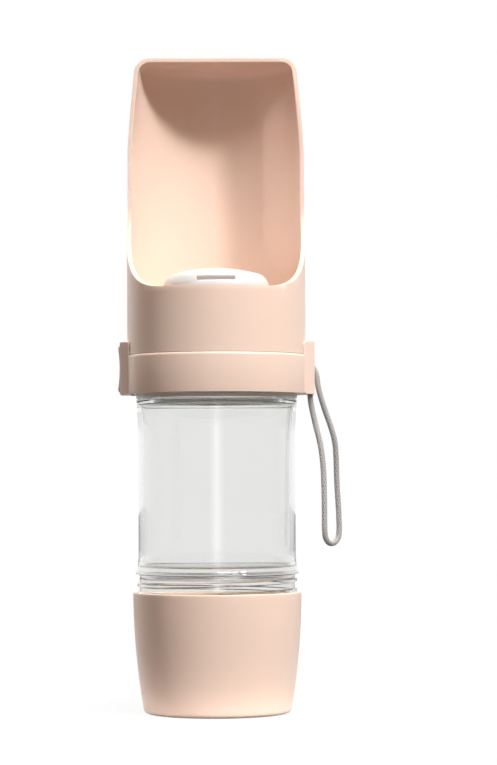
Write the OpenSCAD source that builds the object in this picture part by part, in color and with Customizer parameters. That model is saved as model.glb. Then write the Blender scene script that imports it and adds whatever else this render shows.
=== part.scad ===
// Two-in-one travel bottle for a dog: a drinking trough on a press valve,
// a clear water bottle, and a food cup screwed under it.
// Millimetres, +Z up. The origin is the centre of the cup's foot on the ground,
// the trough opens towards -Y, and the button is on the -X side.

/* [Food cup] */
// Height of the food cup, foot to rim
cup_h = 47.5; // [38:0.5:70]
// Wall of the cup outside its thread
cup_wall = 1.3; // [1:0.1:2.5]
// Wall of the cup below its thread
cup_side_wall = 1.8; // [1.2:0.1:3]
// Thickness of the cup's floor
cup_floor = 2.2; // [1.5:0.1:4]
// How much narrower the foot is than the rim, on the radius
cup_taper = 4.3; // [0:0.1:8]
// Rounding of the edge of the foot
cup_foot_round = 2.2; // [1:0.1:5]
// Depth of the hollow under the foot
cup_recess = 1; // [0.5:0.1:2]
// Height from the seal shelf inside the cup to the rim
cup_thread_h = 11.5; // [10:0.5:16]

/* [Water bottle] */
// How far the waist of the bottle lies inside the trough
waist_step = 4.3; // [3.2:0.1:4.6]
// How far the top of the bottle flares out from the waist
top_flare = 0.85; // [0:0.05:1.2]
// How far the bottom of the bottle flares out from the waist
base_flare = 0.65; // [0:0.05:1.2]
// Wall of the bottle
bottle_wall = 1.8; // [1:0.1:2.2]
// Height of the bottle, bead to shoulder
body_h = 68.7; // [50:0.1:120]
// Height of the threaded skirt under the bead
skirt_h = 17; // [15:0.1:24]
// Height of the bead
bead_h = 1; // [0.8:0.1:3]
// How far the bead stands out from the bottle
bead_proud = 0.65; // [0.3:0.05:1]
// Rounding of the shoulder's outer edge
shoulder_round = 0.6; // [0.4:0.1:3]
// Rounding of the corners inside the bottle
inner_round = 1.2; // [0.8:0.1:5]
// How far the skirt lies inside the waist, between its threads
skirt_step = 0.4; // [0:0.1:1.4]
// How far the neck lies inside the waist, between its threads
neck_step = 3.9; // [3.7:0.1:5.9]
// Height of the neck above the shoulder
neck_h = 10.3; // [9.5:0.1:14]

/* [Threads] */
// Rise of the threads in one turn
pitch = 4; // [3.6:0.1:5]
// Height of a thread ridge
ridge_h = 0.9; // [0.6:0.05:1.1]
// Width of a thread ridge at its root
ridge_w = 2; // [1.4:0.1:2.2]
// Width of a thread ridge at its crest
ridge_tip = 1; // [0.6:0.1:1.2]
// Gap between a crest and the wall that it runs past
thread_gap = 0.35; // [0.25:0.05:0.6]
// Gap between the flanks that carry the load
flank_gap = 0.2; // [0.15:0.05:0.3]

/* [Seals] */
// Thickness of the ring seals at the neck and at the cup
seal_t = 1.5; // [1:0.1:2.5]
// Thickness of the gasket under the trough floor
gasket_t = 1.4; // [1:0.1:2.5]

/* [Bottle cap] */
// Gap between the bottle's shoulder and the cap
cap_gap = 0.3; // [0.2:0.1:1]
// Height of the lip round the bottom of the cap
cap_lip_h = 1.5; // [1:0.1:2.5]
// Wall of the cap outside its thread
cap_wall = 1.95; // [1.5:0.05:2.1]
// Thickness of the cap's deck
deck_t = 2.5; // [2:0.1:4]
// Radius of the water port
port_r = 5; // [4:0.1:5.5]

/* [Collar] */
// Height of the collar band
collar_h = 15.6; // [14.4:0.1:18]
// Wall of the collar band
collar_wall = 1.8; // [1.5:0.1:2]
// How far the band stands out from the trough
collar_proud = 0.5; // [0.3:0.1:1]
// Rounding of the collar's top edge
collar_round = 1.2; // [0.4:0.1:1.3]
// Thickness of the flange under the collar
flange_t = 1.8; // [1.2:0.1:2.2]
// Width of the two ears where they meet the collar
ear_w = 18.8; // [16:0.1:22]
// Width of the ears' outer faces
ear_face_w = 10; // [9.2:0.1:12]
// Height of the two ears
ear_h = 20.5; // [20:0.1:24]
// How far the ears stand out from the trough
ear_proud = 3.4; // [3.2:0.1:5]
// Rounding of the ears' corners
ear_round = 1.4; // [0.5:0.1:1.6]

/* [Trough] */
// Outer radius of the trough, from which the radii of the other pieces come
trough_r = 35.2; // [32:0.1:40]
// Wall of the trough
trough_wall = 1.6; // [1.2:0.1:1.8]
// Height of the trough above the collar
trough_h = 118.5; // [90:0.1:160]
// Height of the front lip above the collar
lip_h = 25.4; // [20:0.1:34]
// Rounding of the trough's top edge
top_round = 6.2; // [3:0.1:8]
// How much narrower the trough is at its top, on the radius
crown_taper = 2.7; // [0:0.1:4]
// Height over which the trough narrows to its top
crown_h = 33; // [20:1:45]
// Depth of the flat stretch of the front lip
lip_flat = 7.3; // [5:0.1:12]
// Rise of the curved sweep behind the lip
sweep_h = 34; // [25:1:45]
// Distance of the upright edge behind the axis
edge_back = 3.5; // [0:0.1:10]
// Thickness of the trough's floor
floor_t = 1.6; // [1.2:0.1:2.5]

/* [Outlet cover] */
// Radius of the outlet cover
cover_r = 21; // [19:0.1:23]
// Height of the outlet cover
cover_h = 16.5; // [12:0.1:20]
// Wall of the outlet cover
cover_wall = 1.6; // [1.2:0.1:2]
// Rounding of the cover's top edge
cover_round = 6; // [3:0.1:7]
// Height of the crown of the cover's top
cover_crown = 2.4; // [0.5:0.1:3]
// Width of the outlet slot
slot_w = 15; // [8:0.5:20]
// Height of the outlet slot
slot_h = 1.8; // [1:0.1:3]
// Distance of the slot's top edge under the cover's top
slot_drop = 4.2; // [3.6:0.1:5.5]

/* [Button and valve] */
// Travel of the button, which is also the valve's lift
travel = 2.4; // [1.5:0.1:2.6]
// Height of the button
button_h = 18.1; // [16:0.1:18.4]
// Thickness of the button's plate
button_t = 1.4; // [1:0.1:1.6]
// How far the button stands out of its frame
button_proud = 0.6; // [0:0.1:1]
// Radius of the push rod
rod_r = 1.5; // [1:0.05:1.6]
// Radius of the valve plug
plug_r = 6.8; // [6.2:0.1:7.2]
// Thickness of the valve plug
plug_t = 2; // [1.6:0.1:2.2]
// Thickness of the fork's plate
fork_t = 2; // [1.6:0.1:2.2]
// Length of the valve spring when the valve is shut
spring_len = 7.4; // [6.6:0.1:9]
// Wire of the valve spring
spring_wire = 0.7; // [0.4:0.05:0.75]
// Radius of the valve spring's coils
spring_r = 4.6; // [4.2:0.1:6]
// Turns of the valve spring
spring_turns = 5; // [4:0.5:5]
// Inner radius of the valve housing
housing_r = 16.5; // [16.2:0.1:17.5]
// Wall of the valve housing
housing_wall = 1.5; // [1.2:0.1:2]

/* [Lanyard] */
// Diameter of the lanyard cord
cord_d = 2.2; // [1.5:0.1:2.6]

/* [Hidden] */

// Clearances that the pieces share
fit = 0.05;
slide_fit = 0.06;
seat_fit = 0.1;
loose_fit = 0.25;
// How far a ridge reaches into the wall that carries it
root = 0.35;
// Cuts reach this far past the face that they open
over = 1;

// Colours
blush = [0.94, 0.82, 0.76];
clear = [0.88, 0.90, 0.91, 0.45];
white = [0.97, 0.97, 0.96];
silicone = [0.85, 0.86, 0.85];
steel = [0.70, 0.71, 0.73];
cord_grey = [0.72, 0.71, 0.69];

// Facets of round pieces, and steps of short arcs
round_fn = 96;
arc_steps = 6;
curve_steps = 10;

// Heights of the stack, from the ground up
shelf_z = cup_h - cup_thread_h;
skirt_z = shelf_z + seal_t;
bead_z = skirt_z + skirt_h;
shoulder_z = bead_z + body_h;
neck_z = shoulder_z + neck_h;
cap_z = shoulder_z + cap_gap;
deck_z = neck_z + seal_t;
deck_top = deck_z + deck_t;
collar_z = cap_z + cap_lip_h;
collar_top = collar_z + collar_h;
lip_z = collar_top + lip_h;
top_z = collar_top + trough_h;

// Radii from the threads outwards
waist_r = trough_r - waist_step;
foot_core_r = waist_r - skirt_step;
neck_core_r = waist_r - neck_step;
skirt_in = foot_core_r - bottle_wall;
neck_in = neck_core_r - bottle_wall;
cup_bore = foot_core_r + ridge_h + thread_gap;
cup_rim_r = cup_bore + cup_wall;
cap_bore = neck_core_r + ridge_h + thread_gap;
cap_r = cap_bore + cap_wall;
bottle_top_r = waist_r + top_flare;
collar_r = trough_r + collar_proud;
collar_in = collar_r - collar_wall;
spigot_r = collar_in - seat_fit;
spigot_in = spigot_r - trough_wall;
deck_r = spigot_in - seat_fit;
ear_x = trough_r + ear_proud;
// The ears' sides slant from the collar's face to the outer face
ear_slant_x = sqrt(pow(collar_r, 2) - pow(ear_w / 2, 2));
button_w = ear_face_w - 1.6;

// Heights over which the bottle flares at its top and at its bottom
flare_top_h = 20;
flare_base_h = 9;

// Heights of the middle of the two ridges of the bottle at angle 0
foot_ridge_z = bead_z - 14.3;
neck_start = 2.6;
neck_ridge_z = shoulder_z + neck_start;
// Axial distance between the middles of two meshed ridges
mesh_shift = ridge_tip / 2 + flank_gap
    + ridge_w / 2 - thread_gap / ridge_h * (ridge_w - ridge_tip) / 2;

// Heights inside the head
seat_z = deck_top + 1;
plug_z = seat_z + fit;
plug_top = plug_z + plug_t;
fork_z = deck_top + 1.9;
fork_top = fork_z + fork_t;
rod_z = fork_z + rod_r;
ramp_h = travel + 0.5;
flange_z = fork_top + ramp_h + 0.2;
stem_flange_t = 1.6;
spring_z = flange_z + stem_flange_t;
roof_z = spring_z + spring_len;
roof_t = 2;
housing_top = roof_z + roof_t;
floor_z = housing_top + gasket_t;
floor_top = floor_z + floor_t;
cover_top = floor_top + cover_h;

// Plan of the valve and its fork
arm_y = plug_r + 1.3;
arm_w = 3;
ramp_x = -1.5;
foot_len = 3;
gland_l = 5.5;
gland_w = 8.4;
gland_h = 8;
seal_minor = 0.65;
seal_major = rod_r + fit + seal_minor;
post_ring = 23;
post_r = 3;
post_h = 4.5;
tab_t = 2;
screw_r = 1.2;
screw_len = 6;
head_r = 2.5;
head_h = 1.6;
screw_angles = [30, 150, 270];
stem_r = 2.5;
hub_r = 3.2;
pin_r = 1.5;
outlet_ring = 10;
outlet_r = 2.2;
outlet_count = 8;
floor_hole_r = housing_r - 3.5;
fork_back = -housing_r + 0.7;
fork_neck = -plug_r - travel - 0.9;

// Route of the lanyard from the mouth of its blind hole under the ear, down to
// the loop and back up into the slot in the ear's outer face
LOOP = [
    [0, 0, 4.5], [0, 0, 2.2], [0, 0, 0], [0.4, -0.3, -4], [1.3, -0.8, -8.5],
    [2.4, -1.4, -13.5], [3.6, -2, -18.5], [4.5, -2.5, -24], [5, -2.9, -30],
    [5.2, -3.2, -36], [5.3, -3.5, -42.5], [5.3, -3.6, -49], [5.4, -3.5, -54.3],
    [5.6, -3.2, -56], [6.2, -2.5, -57.5], [7.1, -1.3, -58.5], [8.2, 0, -58.8],
    [9.3, 1.3, -58.5], [10.3, 2.5, -57.6], [11, 3.2, -56.3], [11.3, 3.5, -54.5],
    [11.3, 3.6, -49], [11, 3.5, -42.5], [10.6, 3.2, -36], [10.4, 2.8, -30],
    [10.2, 2.3, -24], [9.7, 1.8, -18.5], [8.3, 1.4, -13.2], [6.5, 1, -8], [4.9, 0.6, -3.2],
    [3.7, 0.3, 1], [3, 0.1, 4.4], [2.7, 0, 6.9], [2.1, 0, 9], [1.1, 0, 10.7],
    [-0.3, 0, 12.1], [-1.5, 0, 12.7], [-2.7, 0, 12.7]
];
cord_hole_x = ear_x - 1.7;
ROUTE = [for (p = LOOP) p + [cord_hole_x, 0, collar_z]];
// Sideways direction that the cord never runs along
cord_side = [0.77, -0.63, 0];
cord_fn = 8;
cord_hole_r = cord_d / 2 + 0.35;
cord_hole_top = ROUTE[0][2];
cord_slot_low = collar_z + 6.4;
cord_slot_high = collar_z + 14.6;
cord_slot_x = ROUTE[len(ROUTE) - 1][0];

// Points of an arc in a profile
function arc(c, r, a0, a1, n = arc_steps) =
    [for (i = [0:n]) let (a = a0 + (a1 - a0) * i / n) c + r * [cos(a), sin(a)]];

// Points of a curve with two handles, without its first point
function bend(p0, p1, p2, p3, n = curve_steps) = [
    for (i = [1:n]) let (t = i / n, u = 1 - t)
        u * u * u * p0 + 3 * u * u * t * p1 + 3 * u * t * t * p2 + t * t * t * p3
];

// Side of the cup and of the bottle at a height
function cup_side(z) = cup_rim_r - cup_taper * pow((cup_h - z) / cup_h, 2);
function body_side(z) =
    let (
        up = max(0, (z - shoulder_z) / flare_top_h + 1),
        down = max(0, (bead_z - z) / flare_base_h + 1)
    )
    waist_r + top_flare * up * up + base_flare * down * down;

// Triangles between rings of k points each, closed at both ends
function tube_faces(rings, k) = concat(
    [for (i = [0:rings - 2]) for (j = [0:k - 1])
        each [[i * k + j, i * k + (j + 1) % k, (i + 1) * k + j],
              [i * k + (j + 1) % k, (i + 1) * k + (j + 1) % k, (i + 1) * k + j]]],
    [for (j = [1:k - 2]) [0, j + 1, j]],
    [for (j = [1:k - 2]) let (b = (rings - 1) * k) [b, b + j, b + j + 1]]
);

// Solid of revolution about the Z axis
module turned(points) {
    rotate_extrude($fn = round_fn) polygon(points);
}

// Flat ring
module ring(r_in, r_out, z, t) {
    translate([0, 0, z]) difference() {
        cylinder(r = r_out, h = t, $fn = round_fn);
        translate([0, 0, -over]) cylinder(r = r_in, h = t + 2 * over, $fn = round_fn);
    }
}

// Thread ridge that fades out at both ends. out is 1 on a neck, -1 in a bore.
// z_at_0 is the height of its middle at angle 0, and it runs from a0 to a1.
module ridge(wall_r, out, z_at_0, a0, a1) {
    step = 10;
    n = round((a1 - a0) / step);
    fade = 3;
    rings = [
        for (i = [0:n]) let (
            a = a0 + step * i,
            f = min(1, i / fade, (n - i) / fade),
            tall = root / 2 + (ridge_h + root / 2) * f,
            z = z_at_0 + pitch * a / 360,
            half = ridge_w / 2 + root * (ridge_w - ridge_tip) / ridge_h / 2,
            tip = half - (half - ridge_tip / 2) * tall / (ridge_h + root),
            r0 = wall_r - out * root,
            r1 = wall_r - out * (root - tall)
        ) each [
            [r0 * cos(a), r0 * sin(a), z - half],
            [r1 * cos(a), r1 * sin(a), z - tip],
            [r1 * cos(a), r1 * sin(a), z + tip],
            [r0 * cos(a), r0 * sin(a), z + half]
        ]
    ];
    faces = tube_faces(n + 1, 4);
    turned_faces = [for (f = faces) [f[0], f[2], f[1]]];
    polyhedron(rings, out > 0 ? faces : turned_faces, convexity = 10);
}

// Plate standing on edge, seen along X, with rounded corners
module upright_plate(x, t, w, z, h, r) {
    translate([x, 0, z]) rotate([90, 0, 90]) linear_extrude(t) {
        translate([-w / 2 + r, 0]) square([w - 2 * r, h]);
        translate([-w / 2, r]) square([w, h - 2 * r]);
        for (sx = [-1, 1], cz = [r, h - r])
            translate([sx * (w / 2 - r), cz]) circle(r, $fn = 32);
    }
}

// Block of an ear on the +X side, hollowed to sit round the collar and trough
module ear_block(reach) {
    back_x = collar_in - 3;
    difference() {
        intersection() {
            upright_plate(back_x, reach - back_x, ear_w, collar_z, ear_h, ear_round);
            translate([0, 0, collar_z]) linear_extrude(ear_h) polygon([
                [back_x, -ear_w / 2], [ear_slant_x, -ear_w / 2], [ear_x, -ear_face_w / 2],
                [ear_x, ear_face_w / 2], [ear_slant_x, ear_w / 2], [back_x, ear_w / 2]
            ]);
        }
        translate([0, 0, collar_z - over])
            cylinder(r = collar_in + fit, h = collar_h + over + fit, $fn = round_fn);
        translate([0, 0, collar_top])
            cylinder(r = trough_r + seat_fit, h = ear_h, $fn = round_fn);
    }
}

module food_cup() {
    foot_r = cup_side(cup_foot_round) - cup_foot_round;
    foot_w = 3;
    floor_in = cup_recess + cup_floor;
    inner_round = 4;
    inner_r = cup_side(floor_in + inner_round) - cup_side_wall;
    shelf_low = shelf_z - 1.6;
    steps = 10;
    outline = concat(
        [[0, cup_recess], [foot_r - foot_w, cup_recess], [foot_r - foot_w, 0]],
        arc([foot_r, cup_foot_round], cup_foot_round, -90, -8),
        [for (i = [1:steps]) let (z = cup_foot_round + (cup_h - 0.4 - cup_foot_round) * i / steps)
            [cup_side(z), z]],
        [[cup_rim_r - 0.3, cup_h], [cup_bore + 0.3, cup_h], [cup_bore, cup_h - 0.4],
         [cup_bore, shelf_z], [skirt_in, shelf_z], [skirt_in, shelf_low],
         [cup_side(shelf_low - 2) - cup_side_wall, shelf_low - 2]],
        [for (i = [1:steps]) let (z = shelf_low - 2 - (shelf_low - 2 - floor_in - inner_round) * i / steps)
            [cup_side(z) - cup_side_wall, z]],
        arc([inner_r - inner_round, floor_in + inner_round], inner_round, -12, -90),
        [[0, floor_in]]
    );
    low = (shelf_z + 4.4 - foot_ridge_z - mesh_shift) / pitch * 360;
    high = (cup_h - 1.6 - foot_ridge_z - mesh_shift) / pitch * 360;
    color(blush) {
        turned(outline);
        ridge(cup_bore, -1, foot_ridge_z + mesh_shift, low, high);
    }
}

module cup_seal() {
    color(silicone) ring(skirt_in + fit, foot_core_r + seat_fit, shelf_z, seal_t);
}

module water_bottle() {
    edge = 0.5;
    bead_out = body_side(bead_z + bead_h) + bead_proud;
    steps = 9;
    floor_low = bead_z + 0.6;
    floor_high = floor_low + bottle_wall;
    low = floor_high + inner_round;
    high = shoulder_z - bottle_wall - inner_round;
    outline = concat(
        [[skirt_in, skirt_z], [foot_core_r - edge, skirt_z], [foot_core_r, skirt_z + edge],
         [foot_core_r, bead_z], [bead_out - 0.4, bead_z]],
        arc([bead_out - bead_h / 2, bead_z + bead_h / 2], bead_h / 2, -60, 60, 4),
        [for (i = [0:steps]) let (
            z0 = bead_z + bead_h + 0.4,
            z = z0 + (shoulder_z - shoulder_round - z0) * i / steps)
            [body_side(z), z]],
        arc([bottle_top_r - shoulder_round, shoulder_z - shoulder_round], shoulder_round, 20, 90, 4),
        [[neck_core_r, shoulder_z], [neck_core_r, neck_z - edge],
         [neck_core_r - edge, neck_z], [neck_in, neck_z],
         [neck_in, shoulder_z - bottle_wall + edge], [neck_in + edge, shoulder_z - bottle_wall]],
        arc([body_side(high) - bottle_wall - inner_round, high], inner_round, 90, 0, 4),
        [for (i = [1:steps]) let (z = high - (high - low) * i / steps)
            [body_side(z) - bottle_wall, z]],
        arc([body_side(low) - bottle_wall - inner_round, low], inner_round, -10, -90, 5),
        [[0, floor_high + 1], [0, floor_low + 1], [skirt_in - 3, floor_low],
         [skirt_in, floor_low - 3]]
    );
    foot_low = (skirt_z + 2 - foot_ridge_z) / pitch * 360;
    foot_high = (bead_z - 1.5 - foot_ridge_z) / pitch * 360;
    color(clear) {
        turned(outline);
        ridge(foot_core_r, 1, foot_ridge_z, foot_low, foot_high);
        ridge(neck_core_r, 1, neck_ridge_z, 0, (neck_h - neck_start - 2.2) / pitch * 360);
    }
}

module neck_seal() {
    color(silicone) ring(neck_in, cap_bore - 0.2, neck_z, seal_t);
}

module bottle_cap() {
    rail_l = 17;
    thread_low = (cap_gap + 1.5 - neck_start + mesh_shift) / pitch * 360;
    thread_high = (neck_h - 2.9 - neck_start + mesh_shift) / pitch * 360;
    outline = [
        [cap_bore, cap_z], [bottle_top_r, cap_z], [bottle_top_r, collar_z],
        [cap_r, collar_z], [cap_r, deck_z], [deck_r, deck_z], [deck_r, deck_top],
        [port_r + 2.5, deck_top], [port_r + 2, seat_z], [port_r, seat_z],
        [port_r, deck_z], [cap_bore, deck_z]
    ];
    color(blush) {
        difference() {
            union() {
                turned(outline);
                for (a = screw_angles)
                    rotate([0, 0, a]) translate([post_ring, 0, deck_top - fit])
                        cylinder(r = post_r, h = post_h + fit, $fn = 32);
                for (s = [-1, 1])
                    translate([-10, s * (arm_y + arm_w / 2) - 1, deck_top - fit])
                        cube([rail_l, 2, fork_z - deck_top - seat_fit + fit]);
            }
            for (a = screw_angles)
                rotate([0, 0, a]) translate([post_ring, 0, deck_top + post_h + tab_t - screw_len - fit])
                    cylinder(r = screw_r + fit, h = screw_len + over, $fn = 32);
        }
        ridge(cap_bore, -1, neck_ridge_z - mesh_shift, thread_low, thread_high);
    }
}

module collar_ring() {
    edge = 0.35;
    flange_in = cap_r + seat_fit;
    gap_w = ear_w + 2 * fit;
    gap_x = sqrt(pow(collar_in, 2) - pow(gap_w / 2, 2)) - fit;
    outline = concat(
        [[flange_in, collar_z], [collar_r - edge, collar_z], [collar_r, collar_z + edge]],
        arc([collar_r - collar_round, collar_top - collar_round], collar_round, 0, 90, 5),
        [[collar_in, collar_top], [collar_in, collar_z + flange_t], [flange_in, collar_z + flange_t]]
    );
    color(blush) difference() {
        union() {
            difference() {
                turned(outline);
                // Gap for the button's frame
                translate([-collar_r - over, -gap_w / 2, collar_z - over])
                    cube([collar_r + over - gap_x, gap_w, collar_h + 2 * over]);
            }
            ear_block(ear_x);
        }
        // Blind hole and slot for the two ends of the lanyard
        translate([cord_hole_x, 0, collar_z - over])
            cylinder(r = cord_hole_r, h = cord_hole_top - collar_z + over, $fn = 32);
        translate([cord_slot_x, -cord_hole_r, cord_slot_low + cord_hole_r])
            cube([ear_x, 2 * cord_hole_r, cord_slot_high - cord_slot_low - 2 * cord_hole_r]);
        for (z = [cord_slot_low + cord_hole_r, cord_slot_high - cord_hole_r])
            translate([cord_slot_x, 0, z]) rotate([0, 90, 0])
                cylinder(r = cord_hole_r, h = ear_x, $fn = 32);
    }
}

// Frame that carries the button in the gap of the collar
module button_frame() {
    color(blush) mirror([1, 0, 0]) difference() {
        ear_block(ear_x - button_proud);
        upright_plate(collar_in - 4, ear_x, button_w + 2 * loose_fit,
            collar_z + (ear_h - button_h) / 2 - loose_fit, button_h + 2 * loose_fit, ear_round);
    }
}

// Edge of the trough seen from the side, depth and height
function trough_edge() =
    let (
        y0 = -trough_r + lip_flat,
        sweep_top = [edge_back, lip_z + sweep_h]
    ) concat(
        [[y0, lip_z]],
        bend([y0, lip_z], [y0 + 15, lip_z + 0.4], [edge_back, lip_z + sweep_h * 0.6], sweep_top)
    );

// Side of the trough where it narrows, and its rounding up to the flat top.
// wall is 0 for the outside and the trough's wall for the inside.
function crown_side(wall) =
    let (
        bow = 1.3,
        tilt = atan(bow * crown_taper / crown_h),
        r = top_round - wall,
        z1 = top_z - top_round + r * sin(tilt),
        z0 = z1 - crown_h,
        centre = [trough_r - crown_taper - wall - r * cos(tilt), top_z - top_round]
    ) concat(
        [for (i = [0:curve_steps - 1]) let (t = i / curve_steps)
            [trough_r - wall - crown_taper * pow(t, bow), z0 + crown_h * t]],
        arc(centre, r, tilt, 90)
    );
function reversed(points) = [for (i = [len(points) - 1:-1:0]) points[i]];

module drinking_trough() {
    bead_in = 0.7;
    outline = concat(
        [[spigot_in, collar_z + flange_t + seat_fit], [spigot_r, collar_z + flange_t + seat_fit],
         [spigot_r, collar_top], [trough_r, collar_top]],
        crown_side(0),
        [[0, top_z], [0, top_z - trough_wall]],
        reversed(crown_side(trough_wall)),
        [[trough_r - trough_wall, floor_top + 1.5], [trough_r - trough_wall - 1.5, floor_top],
         [cover_r + 1.4, floor_top], [cover_r + 1.4, floor_top + 1.2],
         [cover_r + 0.2, floor_top + 1.2], [cover_r + 0.2, floor_top],
         [floor_hole_r, floor_top], [floor_hole_r, floor_z],
         [trough_r - trough_wall, floor_z], [trough_r - trough_wall, collar_top + 1.6],
         [spigot_in - 1.2, collar_top + 1.6], [spigot_in - 1.2, deck_top + fit],
         [spigot_in, deck_top + fit], [spigot_in, deck_z - 0.3],
         [spigot_in - bead_in, deck_z - 0.5], [spigot_in - bead_in, deck_z - 1.2],
         [spigot_in, deck_z - 2]]
    );
    cut = concat(
        [[-trough_r - 5, lip_z]], trough_edge(),
        [[edge_back, top_z + 5], [-trough_r - 5, top_z + 5]]
    );
    color(blush) difference() {
        turned(outline);
        rotate([90, 0, 90]) translate([0, 0, -trough_r - 5])
            linear_extrude(2 * trough_r + 10) polygon(cut);
        // Recess and hole that the button and its rod move in
        translate([-trough_r - over, -button_w / 2 - 0.6, collar_top - over])
            cube([trough_r + over - collar_in - 0.6, button_w + 1.2,
                collar_z + (ear_h + button_h) / 2 + 0.6 - collar_top + over]);
        translate([-trough_r - over, 0, rod_z]) rotate([0, 90, 0])
            cylinder(r = rod_r + 1.6, h = trough_r, $fn = 32);
    }
}

module outlet_cover() {
    top_r = cover_r - cover_round;
    in_round = cover_round - cover_wall;
    // The rounding runs into the crown without a step
    tilt = atan(2 * cover_crown / top_r);
    crown_r = top_r + cover_round * sin(tilt);
    centre = [top_r, cover_top - cover_crown - cover_round * cos(tilt)];
    steps = 6;
    outline = concat(
        [[cover_r - cover_wall, floor_top], [cover_r, floor_top]],
        arc(centre, cover_round, 0, 90 - tilt),
        [for (i = [1:steps]) let (r = crown_r * (steps - i) / steps)
            [r, cover_top - cover_crown * pow(r / crown_r, 2)]],
        [[0, cover_top - cover_wall - 0.3], [top_r / 2, cover_top - cover_wall - 0.3 - cover_crown / 4]],
        arc(centre, in_round, 90 - tilt, 0),
        [[cover_r - cover_wall, floor_top + 1]]
    );
    color(white) difference() {
        turned(outline);
        translate([-slot_w / 2, -cover_r - over, cover_top - slot_drop - slot_h])
            cube([slot_w, cover_r, slot_h]);
    }
}

module valve_housing() {
    outer = housing_r + housing_wall;
    color(white) difference() {
        union() {
            translate([0, 0, deck_top]) cylinder(r = outer, h = housing_top - deck_top, $fn = round_fn);
            // Gland that the push rod slides through
            translate([-housing_r - gland_l, -gland_w / 2, deck_top])
                cube([gland_l + 1, gland_w, gland_h]);
            // Tabs on the screw posts
            for (a = screw_angles) rotate([0, 0, a]) {
                translate([outer - 1, -post_r, deck_top + post_h])
                    cube([post_ring - outer + 1, 2 * post_r, tab_t]);
                translate([post_ring, 0, deck_top + post_h]) cylinder(r = post_r, h = tab_t, $fn = 32);
            }
        }
        translate([0, 0, deck_top - over])
            cylinder(r = housing_r, h = roof_z - deck_top + over, $fn = round_fn);
        translate([0, 0, roof_z - over]) cylinder(r = stem_r + slide_fit, h = roof_t + 2 * over, $fn = 48);
        for (i = [0:outlet_count - 1]) rotate([0, 0, i * 360 / outlet_count])
            translate([outlet_ring, 0, roof_z - over])
                cylinder(r = outlet_r, h = roof_t + 2 * over, $fn = 32);
        for (a = screw_angles) rotate([0, 0, a])
            translate([post_ring, 0, deck_top + post_h - over])
                cylinder(r = screw_r + fit, h = tab_t + 2 * over, $fn = 32);
        // Bore of the gland, with the groove of its seal
        translate([-housing_r - gland_l - over, 0, rod_z]) rotate([0, 90, 0])
            cylinder(r = rod_r + slide_fit, h = gland_l + 3, $fn = 48);
        translate([-housing_r - gland_l / 2 - seal_minor - seat_fit, 0, rod_z]) rotate([0, 90, 0])
            cylinder(r = seal_major + seal_minor + fit, h = 2 * (seal_minor + seat_fit), $fn = 48);
    }
}

module housing_screws() {
    seat = deck_top + post_h + tab_t;
    color(steel) for (a = screw_angles) rotate([0, 0, a]) translate([post_ring, 0, 0]) difference() {
        union() {
            translate([0, 0, seat - screw_len]) cylinder(r = screw_r, h = screw_len + fit, $fn = 32);
            translate([0, 0, seat]) rotate_extrude($fn = 32) intersection() {
                translate([0, head_h - 4]) circle(4, $fn = 64);
                square([head_r, head_h]);
            }
        }
        // Cross recess for a driver
        for (t = [0, 90]) rotate([0, 0, t])
            translate([-1.4, -0.35, seat + head_h - 0.9]) cube([2.8, 0.7, over]);
    }
}

module rod_seal() {
    color(silicone) translate([-housing_r - gland_l / 2, 0, rod_z]) rotate([0, 90, 0])
        rotate_extrude($fn = 48) translate([seal_major, 0]) circle(seal_minor, $fn = 32);
}

module outlet_gasket() {
    color(silicone) ring(floor_hole_r, housing_r + housing_wall - 0.3, housing_top, gasket_t);
}

// Coil spring between the valve's flange and the roof of its housing
module valve_spring() {
    steps = 16;
    sides = 6;
    wire = spring_wire / 2;
    n = spring_turns * steps;
    low = spring_z + wire + fit;
    rise = spring_len - 2 * wire - 2 * fit;
    rings = [for (i = [0:n]) let (a = 360 * i / steps, z = low + rise * i / n)
        for (j = [0:sides - 1]) let (b = 360 * j / sides, r = spring_r + wire * cos(b))
            [r * cos(a), r * sin(a), z + wire * sin(b)]];
    color(steel) polyhedron(rings, tube_faces(n + 1, sides), convexity = 10);
}

module side_button() {
    low = collar_z + (ear_h - button_h) / 2;
    boss_r = rod_r + 1.1;
    boss_l = 2;
    hollow_r = 60;
    hollow_deep = 0.5;
    color(blush) difference() {
        union() {
            upright_plate(-ear_x, button_t, button_w, low, button_h, ear_round);
            translate([-ear_x + button_t - fit, 0, rod_z]) rotate([0, 90, 0])
                cylinder(r = boss_r, h = boss_l + fit, $fn = 32);
        }
        translate([-ear_x + button_t, 0, rod_z]) rotate([0, 90, 0])
            cylinder(r = rod_r + fit, h = boss_l + over, $fn = 48);
        // Shallow hollow for a fingertip
        translate([-ear_x - hollow_r + hollow_deep, 0, low + button_h / 2]) rotate([90, 0, 0])
            cylinder(r = hollow_r, h = button_w + over, center = true, $fn = 360);
    }
}

module push_rod() {
    x0 = -ear_x + button_t + fit;
    color(steel) translate([x0, 0, rod_z]) rotate([0, 90, 0])
        cylinder(r = rod_r, h = fork_neck - 1.2 - x0, $fn = 48);
}

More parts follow.
